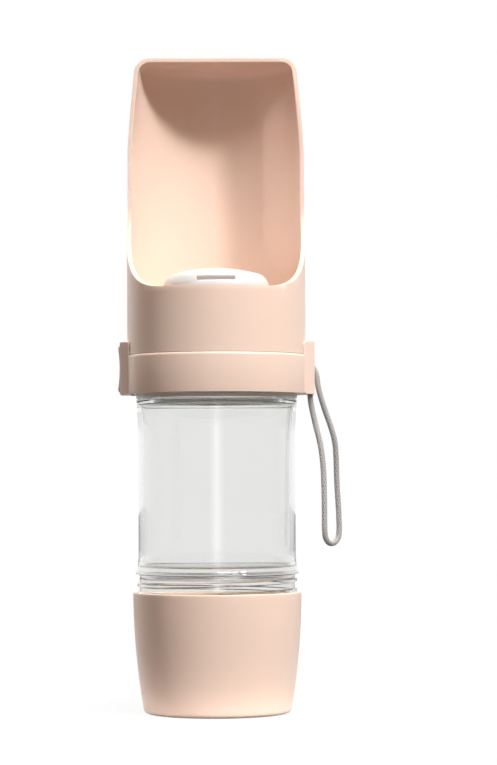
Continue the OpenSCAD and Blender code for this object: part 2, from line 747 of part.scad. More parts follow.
module valve_fork() {
    block_w = 7;
    block_h = 2 * rod_r + 0.4;
    arm_end = 5;
    color(white) difference() {
        intersection() {
            union() {
                translate([fork_back, -block_w / 2, fork_z])
                    cube([fork_neck - fork_back, block_w, block_h]);
                translate([fork_neck - 2, -arm_y - arm_w, fork_z]) cube([2, 2 * (arm_y + arm_w), fork_t]);
                for (s = [-1, 1]) translate([0, s * (arm_y + arm_w / 2), 0]) {
                    translate([fork_neck - fit, -arm_w / 2, fork_z])
                        cube([arm_end - fork_neck, arm_w, fork_t]);
                    // Ramp that lifts the valve
                    rotate([90, 0, 0]) translate([0, 0, -arm_w / 2]) linear_extrude(arm_w) polygon([
                        [ramp_x, fork_top], [ramp_x + 0.3, fork_top - 0.3], [fork_neck, fork_top - 0.3],
                        [fork_neck, fork_top + ramp_h], [ramp_x - ramp_h, fork_top + ramp_h]
                    ]);
                }
            }
            // Room that the housing's bore leaves
            translate([0, 0, fork_z - over])
                cylinder(r = housing_r - slide_fit, h = fork_t + ramp_h + 2 * over, $fn = round_fn);
        }
        translate([fork_back - over, 0, rod_z]) rotate([0, 90, 0])
            cylinder(r = rod_r + fit, h = fork_neck - 1.2 - fork_back + over + fit, $fn = 48);
    }
}

module valve_stem() {
    flange_r = arm_y + arm_w + 1.2;
    gap = 0.15;
    color(white) {
        // Guide, flange, hub and the head that holds the plug
        turned([
            [0, plug_z - 1], [pin_r + 0.9, plug_z - 1], [pin_r + 0.9, plug_z - 0.4], [pin_r, plug_z - fit],
            [pin_r, plug_top + fit], [hub_r, plug_top + fit], [hub_r, flange_z],
            [flange_r, flange_z], [flange_r, spring_z], [stem_r, spring_z],
            [stem_r, housing_top + 0.7], [stem_r - 0.5, housing_top + 1.2], [0, housing_top + 1.2]
        ]);
        for (s = [-1, 1]) translate([0, s * (arm_y + arm_w / 2), 0])
            rotate([90, 0, 0]) translate([0, 0, -arm_w / 2 + 0.2]) linear_extrude(arm_w - 0.4) polygon([
                [ramp_x - foot_len, flange_z + fit],
                [ramp_x - foot_len, fork_top + foot_len + gap * 1.5],
                [ramp_x, fork_top + gap * 1.5], [ramp_x + 0.6, fork_top + gap * 1.5],
                [ramp_x + 0.6, flange_z + fit]
            ]);
    }
}

module valve_plug() {
    color(silicone) difference() {
        turned([[0, plug_z], [plug_r - 0.3, plug_z], [plug_r, plug_z + 0.3],
            [plug_r, plug_top - 0.5], [plug_r - 0.5, plug_top], [0, plug_top]]);
        translate([0, 0, plug_z - over]) cylinder(r = pin_r + fit, h = plug_t + 2 * over, $fn = 48);
    }
}

// Cord of one closed tube swept along its route
module lanyard_cord() {
    n = len(ROUTE);
    function unit(v) = v / norm(v);
    rings = [for (i = [0:n - 1]) let (
            t = unit(ROUTE[min(i + 1, n - 1)] - ROUTE[max(i - 1, 0)]),
            side = unit(cross(t, cord_side)),
            up = cross(side, t)
        ) for (j = [0:cord_fn - 1]) let (a = 360 * j / cord_fn)
            ROUTE[i] + cord_d / 2 * (cos(a) * side + sin(a) * up)];
    color(cord_grey) polyhedron(rings, tube_faces(n, cord_fn), convexity = 10);
}

food_cup();
cup_seal();
water_bottle();
neck_seal();
bottle_cap();
collar_ring();
button_frame();
drinking_trough();
outlet_cover();
valve_housing();
housing_screws();
rod_seal();
outlet_gasket();
valve_spring();
side_button();
push_rod();
valve_fork();
valve_stem();
valve_plug();
lanyard_cord();
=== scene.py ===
"""Looks of a dog travel water bottle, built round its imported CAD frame.

Sizes are in millimetres in the classes and become metres where a piece is made.
Z points up, the trough opens towards -Y, and the button is on the -X side.
"""
import logging
import math
from collections.abc import Callable, Iterable, Sequence
from dataclasses import dataclass, replace
from enum import Enum

import bmesh
import bpy
from mathutils import Euler, Matrix, Vector


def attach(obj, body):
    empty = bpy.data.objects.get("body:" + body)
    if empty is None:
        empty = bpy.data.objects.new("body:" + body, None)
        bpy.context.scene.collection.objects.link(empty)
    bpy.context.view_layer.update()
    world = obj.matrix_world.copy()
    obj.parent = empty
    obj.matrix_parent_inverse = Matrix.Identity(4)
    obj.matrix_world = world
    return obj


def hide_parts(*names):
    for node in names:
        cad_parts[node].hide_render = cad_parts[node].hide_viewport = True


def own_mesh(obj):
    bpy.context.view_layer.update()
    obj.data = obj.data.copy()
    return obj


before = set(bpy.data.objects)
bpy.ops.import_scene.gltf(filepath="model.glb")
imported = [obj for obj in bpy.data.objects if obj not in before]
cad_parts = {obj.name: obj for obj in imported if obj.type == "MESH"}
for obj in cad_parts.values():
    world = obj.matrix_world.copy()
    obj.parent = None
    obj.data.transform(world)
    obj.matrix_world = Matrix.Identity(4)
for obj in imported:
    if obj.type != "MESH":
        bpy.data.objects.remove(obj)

log = logging.getLogger("bottle")

MM = 0.001
# How far off a line or plane a vertex may lie and still count as on it, in metres
NEAR = 0.002 * MM
# Facets in a full turn of the large pieces
FACETS = 192
Point = tuple[float, float]
Point3 = tuple[float, float, float]
Colour = tuple[float, float, float]


# Modelling steps, each done with Blender's own operators


def clear_selection() -> None:
    """Leaves edit mode and deselects every object."""
    if bpy.context.object and bpy.context.object.mode != "OBJECT":
        bpy.ops.object.mode_set(mode="OBJECT")
    bpy.ops.object.select_all(action="DESELECT")


def activate(piece: bpy.types.Object) -> None:
    """Selects one object alone and makes it the active one.

    Args:
        piece: The object.
    """
    clear_selection()
    piece.select_set(True)
    bpy.context.view_layer.objects.active = piece


def edit(piece: bpy.types.Object) -> None:
    """Opens one object in edit mode with nothing selected in it.

    Args:
        piece: The object.
    """
    activate(piece)
    bpy.ops.object.mode_set(mode="EDIT")
    bpy.ops.mesh.select_all(action="DESELECT")


def done() -> None:
    """Goes back to object mode."""
    bpy.ops.object.mode_set(mode="OBJECT")


def pick(
    piece: bpy.types.Object,
    kind: str,
    test: Callable[[bmesh.types.BMVert | bmesh.types.BMEdge | bmesh.types.BMFace], bool],
) -> None:
    """Selects the parts of a mesh in edit mode that pass a test.

    Args:
        piece: The object that is open in edit mode.
        kind: VERT, EDGE or FACE.
        test: Says which ones are selected.
    """
    bpy.ops.mesh.select_mode(type=kind)
    bpy.ops.mesh.select_all(action="DESELECT")
    mesh = bmesh.from_edit_mesh(piece.data)
    parts = {"VERT": mesh.verts, "EDGE": mesh.edges, "FACE": mesh.faces}[kind]
    parts.ensure_lookup_table()
    parts.index_update()
    for part in parts:
        if test(part):
            part.select_set(True)
    mesh.select_flush_mode()
    bmesh.update_edit_mesh(piece.data)


def modify(piece: bpy.types.Object, kind: str, **settings: object) -> None:
    """Adds a modifier to a piece and applies it.

    Args:
        piece: The object that it changes.
        kind: The modifier's type.
        settings: The modifier's own values.
    """
    activate(piece)
    modifier = piece.modifiers.new(kind.lower(), kind)
    for name, value in settings.items():
        setattr(modifier, name, value)
    bpy.ops.object.modifier_apply(modifier=modifier.name)


def draw(name: str, points: Sequence[Point3], closed: bool) -> bpy.types.Object:
    """Draws a line of vertices, each extruded from the last one.

    Args:
        name: Name of the new object.
        points: Places of the vertices, in millimetres.
        closed: Whether the last point is joined to the first.

    Returns:
        The object, left in edit mode.
    """
    clear_selection()
    bpy.ops.mesh.primitive_plane_add(size=MM, location=(0, 0, 0))
    piece = bpy.context.object
    piece.name = piece.data.name = name
    bpy.ops.object.mode_set(mode="EDIT")
    bpy.ops.mesh.select_mode(type="VERT")
    bpy.ops.mesh.select_all(action="SELECT")
    bpy.ops.mesh.merge(type="CENTER")
    bpy.ops.mesh.select_all(action="SELECT")
    bpy.ops.transform.translate(value=Vector(points[0]) * MM)
    for before, after in zip(points, points[1:]):
        step = (Vector(after) - Vector(before)) * MM
        bpy.ops.mesh.extrude_vertices_move(TRANSFORM_OT_translate={"value": step})
    if closed:
        pick(piece, "VERT", lambda vert: len(vert.link_edges) == 1)
        bpy.ops.mesh.edge_face_add()
    return piece


def tidy_mesh(gap: float = 0.001) -> None:
    """Merges what is open in edit mode and turns its faces outwards.

    Args:
        gap: Distance below which vertices merge, in millimetres.
    """
    bpy.ops.mesh.select_mode(type="VERT")
    bpy.ops.mesh.select_all(action="SELECT")
    bpy.ops.mesh.remove_doubles(threshold=gap * MM)
    bpy.ops.mesh.normals_make_consistent(inside=False)


def lathe(
    name: str, outline: Sequence[Point], steps: int = FACETS, closed: bool = True
) -> bpy.types.Object:
    """Spins an outline about the Z axis.

    Args:
        name: Name of the new object.
        outline: Radius and height of each point, in millimetres.
        steps: Facets of one turn.
        closed: False for an outline that starts and ends on the axis.

    Returns:
        The closed solid, in object mode.
    """
    piece = draw(name, [(r, 0.0, z) for r, z in outline], closed)
    bpy.ops.mesh.select_all(action="SELECT")
    bpy.ops.mesh.spin(steps=steps, angle=math.tau, center=(0, 0, 0), axis=(0, 0, 1))
    tidy_mesh()
    done()
    return piece


def prism(name: str, outline: Sequence[Point3], way: Point3) -> bpy.types.Object:
    """Fills a flat outline and extrudes it.

    Args:
        name: Name of the new object.
        outline: The corners, in millimetres.
        way: How far and which way it is extruded, in millimetres.

    Returns:
        The closed solid, in object mode.
    """
    piece = draw(name, outline, True)
    bpy.ops.mesh.select_all(action="SELECT")
    bpy.ops.mesh.edge_face_add()
    bpy.ops.mesh.extrude_region_move(TRANSFORM_OT_translate={"value": Vector(way) * MM})
    tidy_mesh()
    done()
    return piece


def block(name: str, low: Point3, high: Point3) -> bpy.types.Object:
    """Adds a box between two corners, given in millimetres.

    Args:
        name: Name of the new object.
        low: Its lowest corner.
        high: Its highest corner.

    Returns:
        The solid, in object mode.
    """
    clear_selection()
    middle = (Vector(low) + Vector(high)) / 2 * MM
    bpy.ops.mesh.primitive_cube_add(size=1, location=middle)
    piece = bpy.context.object
    piece.name = piece.data.name = name
    piece.scale = (Vector(high) - Vector(low)) * MM
    bpy.ops.object.transform_apply(location=True, rotation=True, scale=True)
    return piece


def rod(
    name: str, radius: float, start: Point3, length: float, along: str, facets: int = 48
) -> bpy.types.Object:
    """Adds a cylinder along an axis, with its sizes in millimetres.

    Args:
        name: Name of the new object.
        radius: Its radius.
        start: The middle of its first end.
        length: Its length, towards the axis's positive end.
        along: X, Y or Z.
        facets: Facets of its round side.

    Returns:
        The solid, in object mode.
    """
    clear_selection()
    way = {"X": Vector((1, 0, 0)), "Y": Vector((0, 1, 0)), "Z": Vector((0, 0, 1))}[along]
    turn = {"X": (0, math.pi / 2, 0), "Y": (-math.pi / 2, 0, 0), "Z": (0, 0, 0)}[along]
    middle = (Vector(start) + way * length / 2) * MM
    bpy.ops.mesh.primitive_cylinder_add(
        vertices=facets, radius=radius * MM, depth=length * MM, location=middle, rotation=turn
    )
    piece = bpy.context.object
    piece.name = piece.data.name = name
    bpy.ops.object.transform_apply(location=True, rotation=True, scale=True)
    return piece


def combine(piece: bpy.types.Object, others: Iterable[bpy.types.Object], how: str) -> None:
    """Cuts other solids out of a piece or joins them to it, and removes them.

    Args:
        piece: The solid that changes.
        others: The solids that are used up.
        how: DIFFERENCE, UNION or INTERSECT.
    """
    for other in others:
        modify(piece, "BOOLEAN", operation=how, solver="EXACT", object=other)
        bpy.data.objects.remove(other)


def soften(
    piece: bpy.types.Object,
    test: Callable[[bmesh.types.BMEdge], bool],
    width: float,
    segments: int = 3,
) -> None:
    """Rounds the edges of a piece that pass a test.

    Args:
        piece: The solid that changes.
        test: Says which edges are rounded.
        width: Width of the rounding, in millimetres.
        segments: Facets of the rounding.
    """
    edit(piece)
    pick(piece, "EDGE", test)
    bpy.ops.mesh.bevel(
        offset=width * MM, segments=segments, profile=0.5, affect="EDGES", clamp_overlap=True
    )
    done()


def is_sharp(edge: bmesh.types.BMEdge, least: float) -> bool:
    """Whether the two faces of an edge meet at more than some degrees."""
    return len(edge.link_faces) == 2 and edge.calc_face_angle(0.0) > math.radians(least)


def runs_along(edge: bmesh.types.BMEdge, axis: int) -> bool:
    """Whether an edge spans over half a millimetre along an axis: 0, 1 or 2 for X, Y or Z."""
    return abs(edge.verts[0].co[axis] - edge.verts[1].co[axis]) > 0.5 * MM


def finish_smooth(piece: bpy.types.Object, angle: float = 35.0) -> bpy.types.Object:
    """Shades a piece smooth, apart from edges sharper than some degrees.

    Args:
        piece: The object that changes.
        angle: The degrees.

    Returns:
        The same object.
    """
    activate(piece)
    bpy.ops.object.shade_smooth_by_angle(angle=math.radians(angle))
    return piece


def arc(centre: Point, radius: float, first: float, last: float, steps: int = 8) -> list[Point]:
    """Points of an arc in an outline, between two angles in degrees."""
    angles = [math.radians(first + (last - first) * i / steps) for i in range(steps + 1)]
    return [(centre[0] + radius * math.cos(a), centre[1] + radius * math.sin(a)) for a in angles]


def between(first: float, last: float, steps: int) -> list[float]:
    """Evenly spaced values after the first, up to and with the last."""
    return [first + (last - first) * i / steps for i in range(1, steps + 1)]


def bend(p0: Point, p1: Point, p2: Point, p3: Point, steps: int = 24) -> list[Point]:
    """Points of a curve with two handles, without its first point.

    Args:
        p0: The first point.
        p1: The handle of the first point.
        p2: The handle of the last point.
        p3: The last point.
        steps: How many straight pieces it has.

    Returns:
        The points.
    """
    found = []
    for i in range(1, steps + 1):
        t = i / steps
        u = 1 - t
        weights = (u**3, 3 * u * u * t, 3 * u * t * t, t**3)
        found.append(
            tuple(sum(w * p[k] for w, p in zip(weights, (p0, p1, p2, p3))) for k in (0, 1))
        )
    return found


# Finishes


def new_group(name: str, inputs: dict[str, str], outputs: dict[str, str]) -> bpy.types.NodeTree:
    """Makes an empty shader node group.

    Args:
        name: Name of the group.
        inputs: Socket type of each input by name.
        outputs: Socket type of each output by name.

    Returns:
        The group, with its input and output nodes.
    """
    group = bpy.data.node_groups.new(name, "ShaderNodeTree")
    for way, sockets in (("INPUT", inputs), ("OUTPUT", outputs)):
        for socket, kind in sockets.items():
            group.interface.new_socket(name=socket, in_out=way, socket_type="NodeSocket" + kind)
    group.nodes.new("NodeGroupInput").name = "in"
    group.nodes.new("NodeGroupOutput").name = "out"
    return group


class Wires:
    """Adds nodes to a node tree and links them by name."""

    def __init__(self, tree: bpy.types.NodeTree) -> None:
        """Keeps the tree that the nodes go into."""
        self.tree = tree

    def node(self, kind: str, **settings: object) -> bpy.types.Node:
        """Adds a node. Settings that are sockets are set or linked, others are properties.

        Args:
            kind: The node's type, without its prefix.
            settings: Its properties first, then its sockets, with underscores for spaces.

        Returns:
            The new node.
        """
        node = self.tree.nodes.new("ShaderNode" + kind)
        for name, value in settings.items():
            if hasattr(node, name):
                setattr(node, name, value)
            else:
                self.feed_all(node, **{name: value})
        return node

    def feed_all(self, node: bpy.types.Node, **values: object) -> None:
        """Feeds sockets of a node by name, with underscores for spaces."""
        for name, value in values.items():
            self.feed(node.inputs[name.replace("_", " ")], value)

    def feed(self, socket: bpy.types.NodeSocket, value: object) -> None:
        """Links a socket to another one, or gives it a value.

        Args:
            socket: The input socket.
            value: Another node's output, or a value.
        """
        if isinstance(value, bpy.types.NodeSocket):
            self.tree.links.new(value, socket)
        else:
            socket.default_value = value

    def result(self, node: bpy.types.Node, *values: object) -> bpy.types.NodeSocket:
        """Feeds a node's sockets in their order, and returns its first output.

        Args:
            node: The node.
            values: An output or a value for each socket.

        Returns:
            The output.
        """
        for socket, value in zip(node.inputs, values):
            self.feed(socket, value)
        return node.outputs[0]

    def math(self, how: str, *values: object) -> bpy.types.NodeSocket:
        """Result of a Math node."""
        return self.result(self.node("Math", operation=how), *values)

    def mix(
        self, share: object, first: object, second: object, how: str = "MIX"
    ) -> bpy.types.NodeSocket:
        """Result of a colour Mix node.

        Args:
            share: Share of the second colour.
            first: The first colour.
            second: The second colour.
            how: The blend type.

        Returns:
            The mixed colour.
        """
        node = self.node("Mix", data_type="RGBA", blend_type=how)
        colours = (node.inputs[0], node.inputs[6], node.inputs[7])
        for socket, value in zip(colours, (share, first, second)):
            self.feed(socket, value)
        return node.outputs[2]

    def spread(
        self, value: object, low: float, high: float, to_low: float, to_high: float
    ) -> bpy.types.NodeSocket:
        """A value moved from one range to another, and kept inside it."""
        return self.result(self.node("MapRange"), value, low, high, to_low, to_high)

    def show(self, share: object, first: bpy.types.Node, second: bpy.types.Node) -> None:
        """Mixes two shaders and shows the result on the material's surface.

        Args:
            share: Share of the second shader.
            first: The first shader's node.
            second: The second shader's node.
        """
        shaders = (first.outputs[0], second.outputs[0])
        seen = self.result(self.node("MixShader"), share, *shaders)
        self.feed_all(self.tree.nodes["Material Output"], Surface=seen)


def moulded_group() -> bpy.types.NodeTree:
    """Fine grain of a spark-eroded mould, with faint clouds of colour.

    Returns:
        The group, with colour, height and gloss as its outputs.
    """
    group = new_group(
        "moulded grain",
        {"Vector": "Vector", "Colour": "Color", "Clouds": "Float", "Grain": "Float"},
        {"Colour": "Color", "Height": "Float", "Gloss": "Float"},
    )
    w = Wires(group)
    given, out = group.nodes["in"].outputs, group.nodes["out"].inputs
    clouds = w.node("TexNoise", Vector=given["Vector"], Scale=38.0, Detail=3.0)
    grain = w.node(
        "TexNoise", Vector=given["Vector"], Scale=given["Grain"], Detail=4.0, Roughness=0.7
    )
    pores = w.node("TexVoronoi", Vector=given["Vector"], Scale=given["Grain"])
    share = w.math("MULTIPLY", clouds.outputs[0], given["Clouds"])
    darker = w.mix(1.0, given["Colour"], (0.90, 0.86, 0.83, 1.0), "MULTIPLY")
    w.feed(out["Colour"], w.mix(share, given["Colour"], darker))
    height = w.math("ADD", grain.outputs[0], w.math("MULTIPLY", pores.outputs[0], 0.4))
    w.feed(out["Height"], height)
    w.feed(out["Gloss"], w.math("MULTIPLY", clouds.outputs[0], grain.outputs[0]))
    return group


def wear_group() -> bpy.types.NodeTree:
    """Mask of the edges that hands polish, from the shape itself.

    Returns:
        The group, with a mask as its output.
    """
    group = new_group("handled edges", {"Vector": "Vector"}, {"Mask": "Float"})
    w = Wires(group)
    given, out = group.nodes["in"].outputs, group.nodes["out"].inputs
    shape = w.node("NewGeometry")
    patchy = w.node("TexNoise", Vector=given["Vector"], Scale=220.0, Detail=2.0)
    edge = w.spread(shape.outputs["Pointiness"], 0.53, 0.62, 0.0, 1.0)
    patches = w.spread(patchy.outputs[0], 0.3, 0.7, 0.5, 1.0)
    w.feed(out["Mask"], w.math("MULTIPLY", edge, patches))
    return group


def braid_group() -> bpy.types.NodeTree:
    """Crossing strands of a braided cord, from the cord's own UV map.

    Returns:
        The group, with a height as its output.
    """
    group = new_group(
        "braid",
        {"Vector": "Vector", "Turns": "Float", "Around": "Float"},
        {"Height": "Float"},
    )
    w = Wires(group)
    given, out = group.nodes["in"].outputs, group.nodes["out"].inputs
    axes = w.node("SeparateXYZ", Vector=given["Vector"])
    along = w.math("MULTIPLY", axes.outputs[0], given["Turns"])
    around = w.math("MULTIPLY", axes.outputs[1], given["Around"])
    waves = []
    for how in ("ADD", "SUBTRACT"):
        phase = w.math("MULTIPLY", w.math(how, along, around), math.tau)
        waves.append(w.math("ABSOLUTE", w.math("SINE", phase)))
    w.feed(out["Height"], w.math("MAXIMUM", *waves))
    return group


class Groups:
    """The shared effects, each built once."""

    def __init__(self) -> None:
        """Builds the node groups."""
        self.moulded = moulded_group()
        self.wear = wear_group()
        self.braid = braid_group()


def start_material(name: str) -> tuple[bpy.types.Material, Wires, bpy.types.Node]:
    """Makes a material and returns it, its wires and its Principled BSDF.

    Args:
        name: Name of the material.

    Returns:
        The material, its wires and its shader.
    """
    material = bpy.data.materials.new(name)
    material.use_nodes = True
    return material, Wires(material.node_tree), material.node_tree.nodes["Principled BSDF"]


GLOSS_RANGE = (0.1, 0.45)


@dataclass(frozen=True)
class Moulded:
    """Opaque moulded plastic or silicone."""

    name: str
    colour: Colour
    roughness: float
    polished: float
    grain: float
    bump: float
    clouds: float
    bleed: float
    specular: float = 0.5
    reach: float = 0.0015
    depths: Colour = (1.0, 0.5, 0.35)
    refraction: float = 1.46
    grain_depth: float = 0.00005

    def build(self, groups: Groups) -> bpy.types.Material:
        """Makes the material out of the shared effects.

        Args:
            groups: The shared effects.

        Returns:
            The material.
        """
        material, w, shader = start_material(self.name)
        place = w.node("TexCoord").outputs["Object"]
        skin = w.node(
            "Group", node_tree=groups.moulded, Vector=place, Colour=(*self.colour, 1.0),
            Clouds=self.clouds, Grain=self.grain,
        ).outputs
        wear = w.node("Group", node_tree=groups.wear, Vector=place).outputs["Mask"]
        worn_colour = tuple(min(1.0, c * 0.6 + 0.42) for c in self.colour)
        colour = w.mix(w.math("MULTIPLY", wear, 0.6), skin["Colour"], (*worn_colour, 1.0))
        dull, glossy = self.roughness + 0.05, self.roughness - 0.05
        rough = w.spread(skin["Gloss"], *GLOSS_RANGE, dull, glossy)
        worn = w.math("MULTIPLY", wear, self.polished - self.roughness)
        bump = w.node(
            "Bump", Strength=self.bump, Distance=self.grain_depth, Height=skin["Height"]
        )
        w.feed_all(
            shader, Base_Color=colour, Roughness=w.math("ADD", rough, worn),
            Normal=bump.outputs[0], IOR=self.refraction, Specular_IOR_Level=self.specular,
            Subsurface_Weight=self.bleed, Subsurface_Radius=self.depths,
            Subsurface_Scale=self.reach,
        )
        return material


@dataclass(frozen=True)
class ClearPlastic:
    """Polished clear plastic, which lets the lamps' light through.

    Level faces of the foot's thread and of the bottle's floor get a darker tint. It is painted
    shade in place of the dark surroundings seen through them, and it gives the dark lines there. It
    ends between two heights, in metres.
    """

    name: str
    colour: Colour
    roughness: float
    refraction: float
    passed: Colour = (0.93, 0.94, 0.93)
    # Colour of the painted shade on level faces
    line: Colour = (0.26, 0.265, 0.27)
    painted_shade_full: float = 0.0585
    painted_shade_end: float = 0.0600

    def build(self, groups: Groups) -> bpy.types.Material:
        """Makes the material, with faint flow marks in its surface.

        Args:
            groups: The shared effects.

        Returns:
            The material.
        """
        material, w, shader = start_material(self.name)
        track = w.node("TexCoord").outputs
        place = track["Object"]
        long = w.node("Mapping", Vector=place, Scale=(1.0, 1.0, 0.15))
        flow = w.node("TexNoise", Vector=long.outputs[0], Scale=60.0, Detail=2.0)
        skin = w.node(
            "Group", node_tree=groups.moulded, Vector=place, Colour=(*self.colour, 1.0),
            Clouds=0.1, Grain=900.0,
        ).outputs
        bump = w.node("Bump", Strength=0.06, Distance=0.0002, Height=flow.outputs[0])
        # Painted shade: level faces low on the bottle are tinted dark in place of the dark
        # surroundings seen through them
        up = w.node("SeparateXYZ", Vector=track["Normal"]).outputs[2]
        level = w.spread(w.math("ABSOLUTE", up), 0.55, 0.95, 0.0, 1.0)
        height = w.node("SeparateXYZ", Vector=place).outputs[2]
        low = w.spread(height, self.painted_shade_full, self.painted_shade_end, 1.0, 0.0)
        painted_shade_tint = w.mix(w.math("MULTIPLY", level, low), skin["Colour"], (*self.line, 1.0))
        dull, glossy = self.roughness * 1.4, self.roughness * 0.7
        w.feed_all(
            shader, Base_Color=painted_shade_tint, Roughness=w.spread(skin["Gloss"], *GLOSS_RANGE, dull, glossy),
            Normal=bump.outputs[0], Transmission_Weight=1.0, IOR=self.refraction,
        )
        # Lamps shine through it, and so does a ray that is caught inside its wall
        through = w.node("BsdfTransparent", Color=(*self.passed, 1.0))
        path = w.node("LightPath").outputs
        caught = w.math("GREATER_THAN", path["Glossy Depth"], 2.0)
        w.show(w.math("MAXIMUM", path["Is Shadow Ray"], caught), shader, through)
        return material


@dataclass(frozen=True)
class Steel:
    """Drawn stainless steel with fine lines along one axis."""

    name: str
    colour: Colour
    roughness: float

    def build(self, groups: Groups) -> bpy.types.Material:
        """Makes the material, with the lines in its roughness and bump.

        Args:
            groups: The shared effects, not used here.

        Returns:
            The material.
        """
        material, w, shader = start_material(self.name)
        place = w.node("TexCoord").outputs["Object"]
        lines = w.node("Mapping", Vector=place, Scale=(0.05, 1.0, 1.0))
        drawn = w.node("TexNoise", Vector=lines.outputs[0], Scale=2600.0, Detail=3.0)
        groove = tuple(c * 0.8 for c in self.colour)
        shade = w.mix(drawn.outputs[0], (*self.colour, 1.0), (*groove, 1.0))
        rough = w.spread(drawn.outputs[0], 0.3, 0.7, self.roughness - 0.06, self.roughness + 0.08)
        bump = w.node("Bump", Strength=0.2, Distance=0.00002, Height=drawn.outputs[0])
        w.feed_all(shader, Base_Color=shade, Roughness=rough, Normal=bump.outputs[0], Metallic=1.0)
        return material


@dataclass(frozen=True)
class Braid:
    """Braided cord of polished synthetic yarn."""

    name: str
    yarn: Colour
    # Colour painted into the grooves between the strands, as painted shade
    painted_groove_shade: Colour
    turns: float
    around: float

    def build(self, groups: Groups) -> bpy.types.Material:
        """Makes the material, with strands that follow the cord.

        Args:
            groups: The shared effects.

        Returns:
            The material.
        """
        material, w, shader = start_material(self.name)
        track = w.node("TexCoord").outputs
        strands = w.node(
            "Group", node_tree=groups.braid, Vector=track["UV"], Turns=self.turns,
            Around=self.around,
        ).outputs["Height"]
        hairs = w.node("TexNoise", Vector=track["Object"], Scale=1800.0).outputs[0]
        # The grooves between the strands get the darker colour as painted shade, and random fuzz
        # darkens towards it too
        share = w.spread(strands, 0.25, 0.95, 0.0, 1.0)
        colour = w.mix(share, (*self.painted_groove_shade, 1.0), (*self.yarn, 1.0))
        fuzzy = w.mix(w.math("MULTIPLY", hairs, 0.25), colour, (*self.painted_groove_shade, 1.0))
        bump = w.node("Bump", Strength=0.8, Distance=0.0003, Height=strands)
        w.feed_all(
            shader, Base_Color=fuzzy, Roughness=w.spread(hairs, 0.3, 0.7, 0.5, 0.75),
            Normal=bump.outputs[0], Sheen_Weight=0.15,
        )
        return material


class Finish(Enum):
    """The finishes of the object, by the record's slot."""

    BLUSH = "blush_plastic"
    # The same blush plastic made paler, as painted light on the cap's lip
    PALE = "painted_light_blush_plastic"
    CLEAR = "clear_plastic"
    WHITE = "white_plastic"
    SILICONE = "silicone"
    STEEL = "steel"
    CORD = "cord"

    @property
    def slot(self) -> str:
        """The record's slot that the finish belongs to."""
        return Finish.BLUSH.value if self is Finish.PALE else self.value


BLUSH_PLASTIC = Moulded(
    "blush plastic", (0.885, 0.686, 0.575), roughness=0.34, polished=0.28,
    grain=1500.0, bump=0.22, clouds=0.25, bleed=0.12, specular=0.4,
)
RECIPES: dict[Finish, Moulded | ClearPlastic | Steel | Braid] = {
    Finish.BLUSH: BLUSH_PLASTIC,
    # Painted light: the cap's lip is painted paler in place of the light it catches under the
    # collar
    Finish.PALE: replace(BLUSH_PLASTIC, name="blush plastic with painted light", colour=(0.95, 0.89, 0.82)),
    Finish.CLEAR: ClearPlastic(
        "clear plastic", (0.905, 0.910, 0.905), roughness=0.03, refraction=1.49
    ),
    Finish.WHITE: Moulded(
        "white plastic", (0.90, 0.90, 0.88), roughness=0.30, polished=0.24,
        grain=1800.0, bump=0.12, clouds=0.15, bleed=0.9, reach=0.010, depths=(1.0, 0.95, 0.9),
    ),
    Finish.SILICONE: Moulded(
        "silicone", (0.72, 0.73, 0.72), roughness=0.58, polished=0.5,
        grain=1300.0, bump=0.25, clouds=0.3, bleed=0.2,
    ),
    Finish.STEEL: Steel("stainless steel", (0.62, 0.62, 0.64), roughness=0.28),
    Finish.CORD: Braid(
        "braided cord", (0.50, 0.475, 0.46), (0.29, 0.27, 0.26), turns=46.0, around=3.0
    ),
}


class Palette:
    """Builds each finish once and puts it on the pieces."""

    def __init__(self) -> None:
        """Builds the materials."""
        groups = Groups()
        self.materials = {finish: recipe.build(groups) for finish, recipe in RECIPES.items()}

    def dress(self, piece: bpy.types.Object, finish: Finish) -> None:
        """Gives a piece one finish all over."""
        piece.data.materials.clear()
        piece.data.materials.append(self.materials[finish])

    def hand_over(
        self, piece: bpy.types.Object, finish: Finish, body: str, *nodes: str
    ) -> bpy.types.Object:
        """Dresses a piece, ties it to its body and hides the CAD nodes that it stands for.

        Args:
            piece: The finished piece.
            finish: Its finish.
            body: The CAD body that it moves with.
            nodes: The CAD nodes that it stands for.

        Returns:
            The same piece.
        """
        self.dress(piece, finish)
        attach(piece, body)
        if nodes:
            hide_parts(*nodes)
        log.info("%s: %d faces", piece.name, len(getattr(piece.data, "polygons", ())))
        return piece


# The pieces


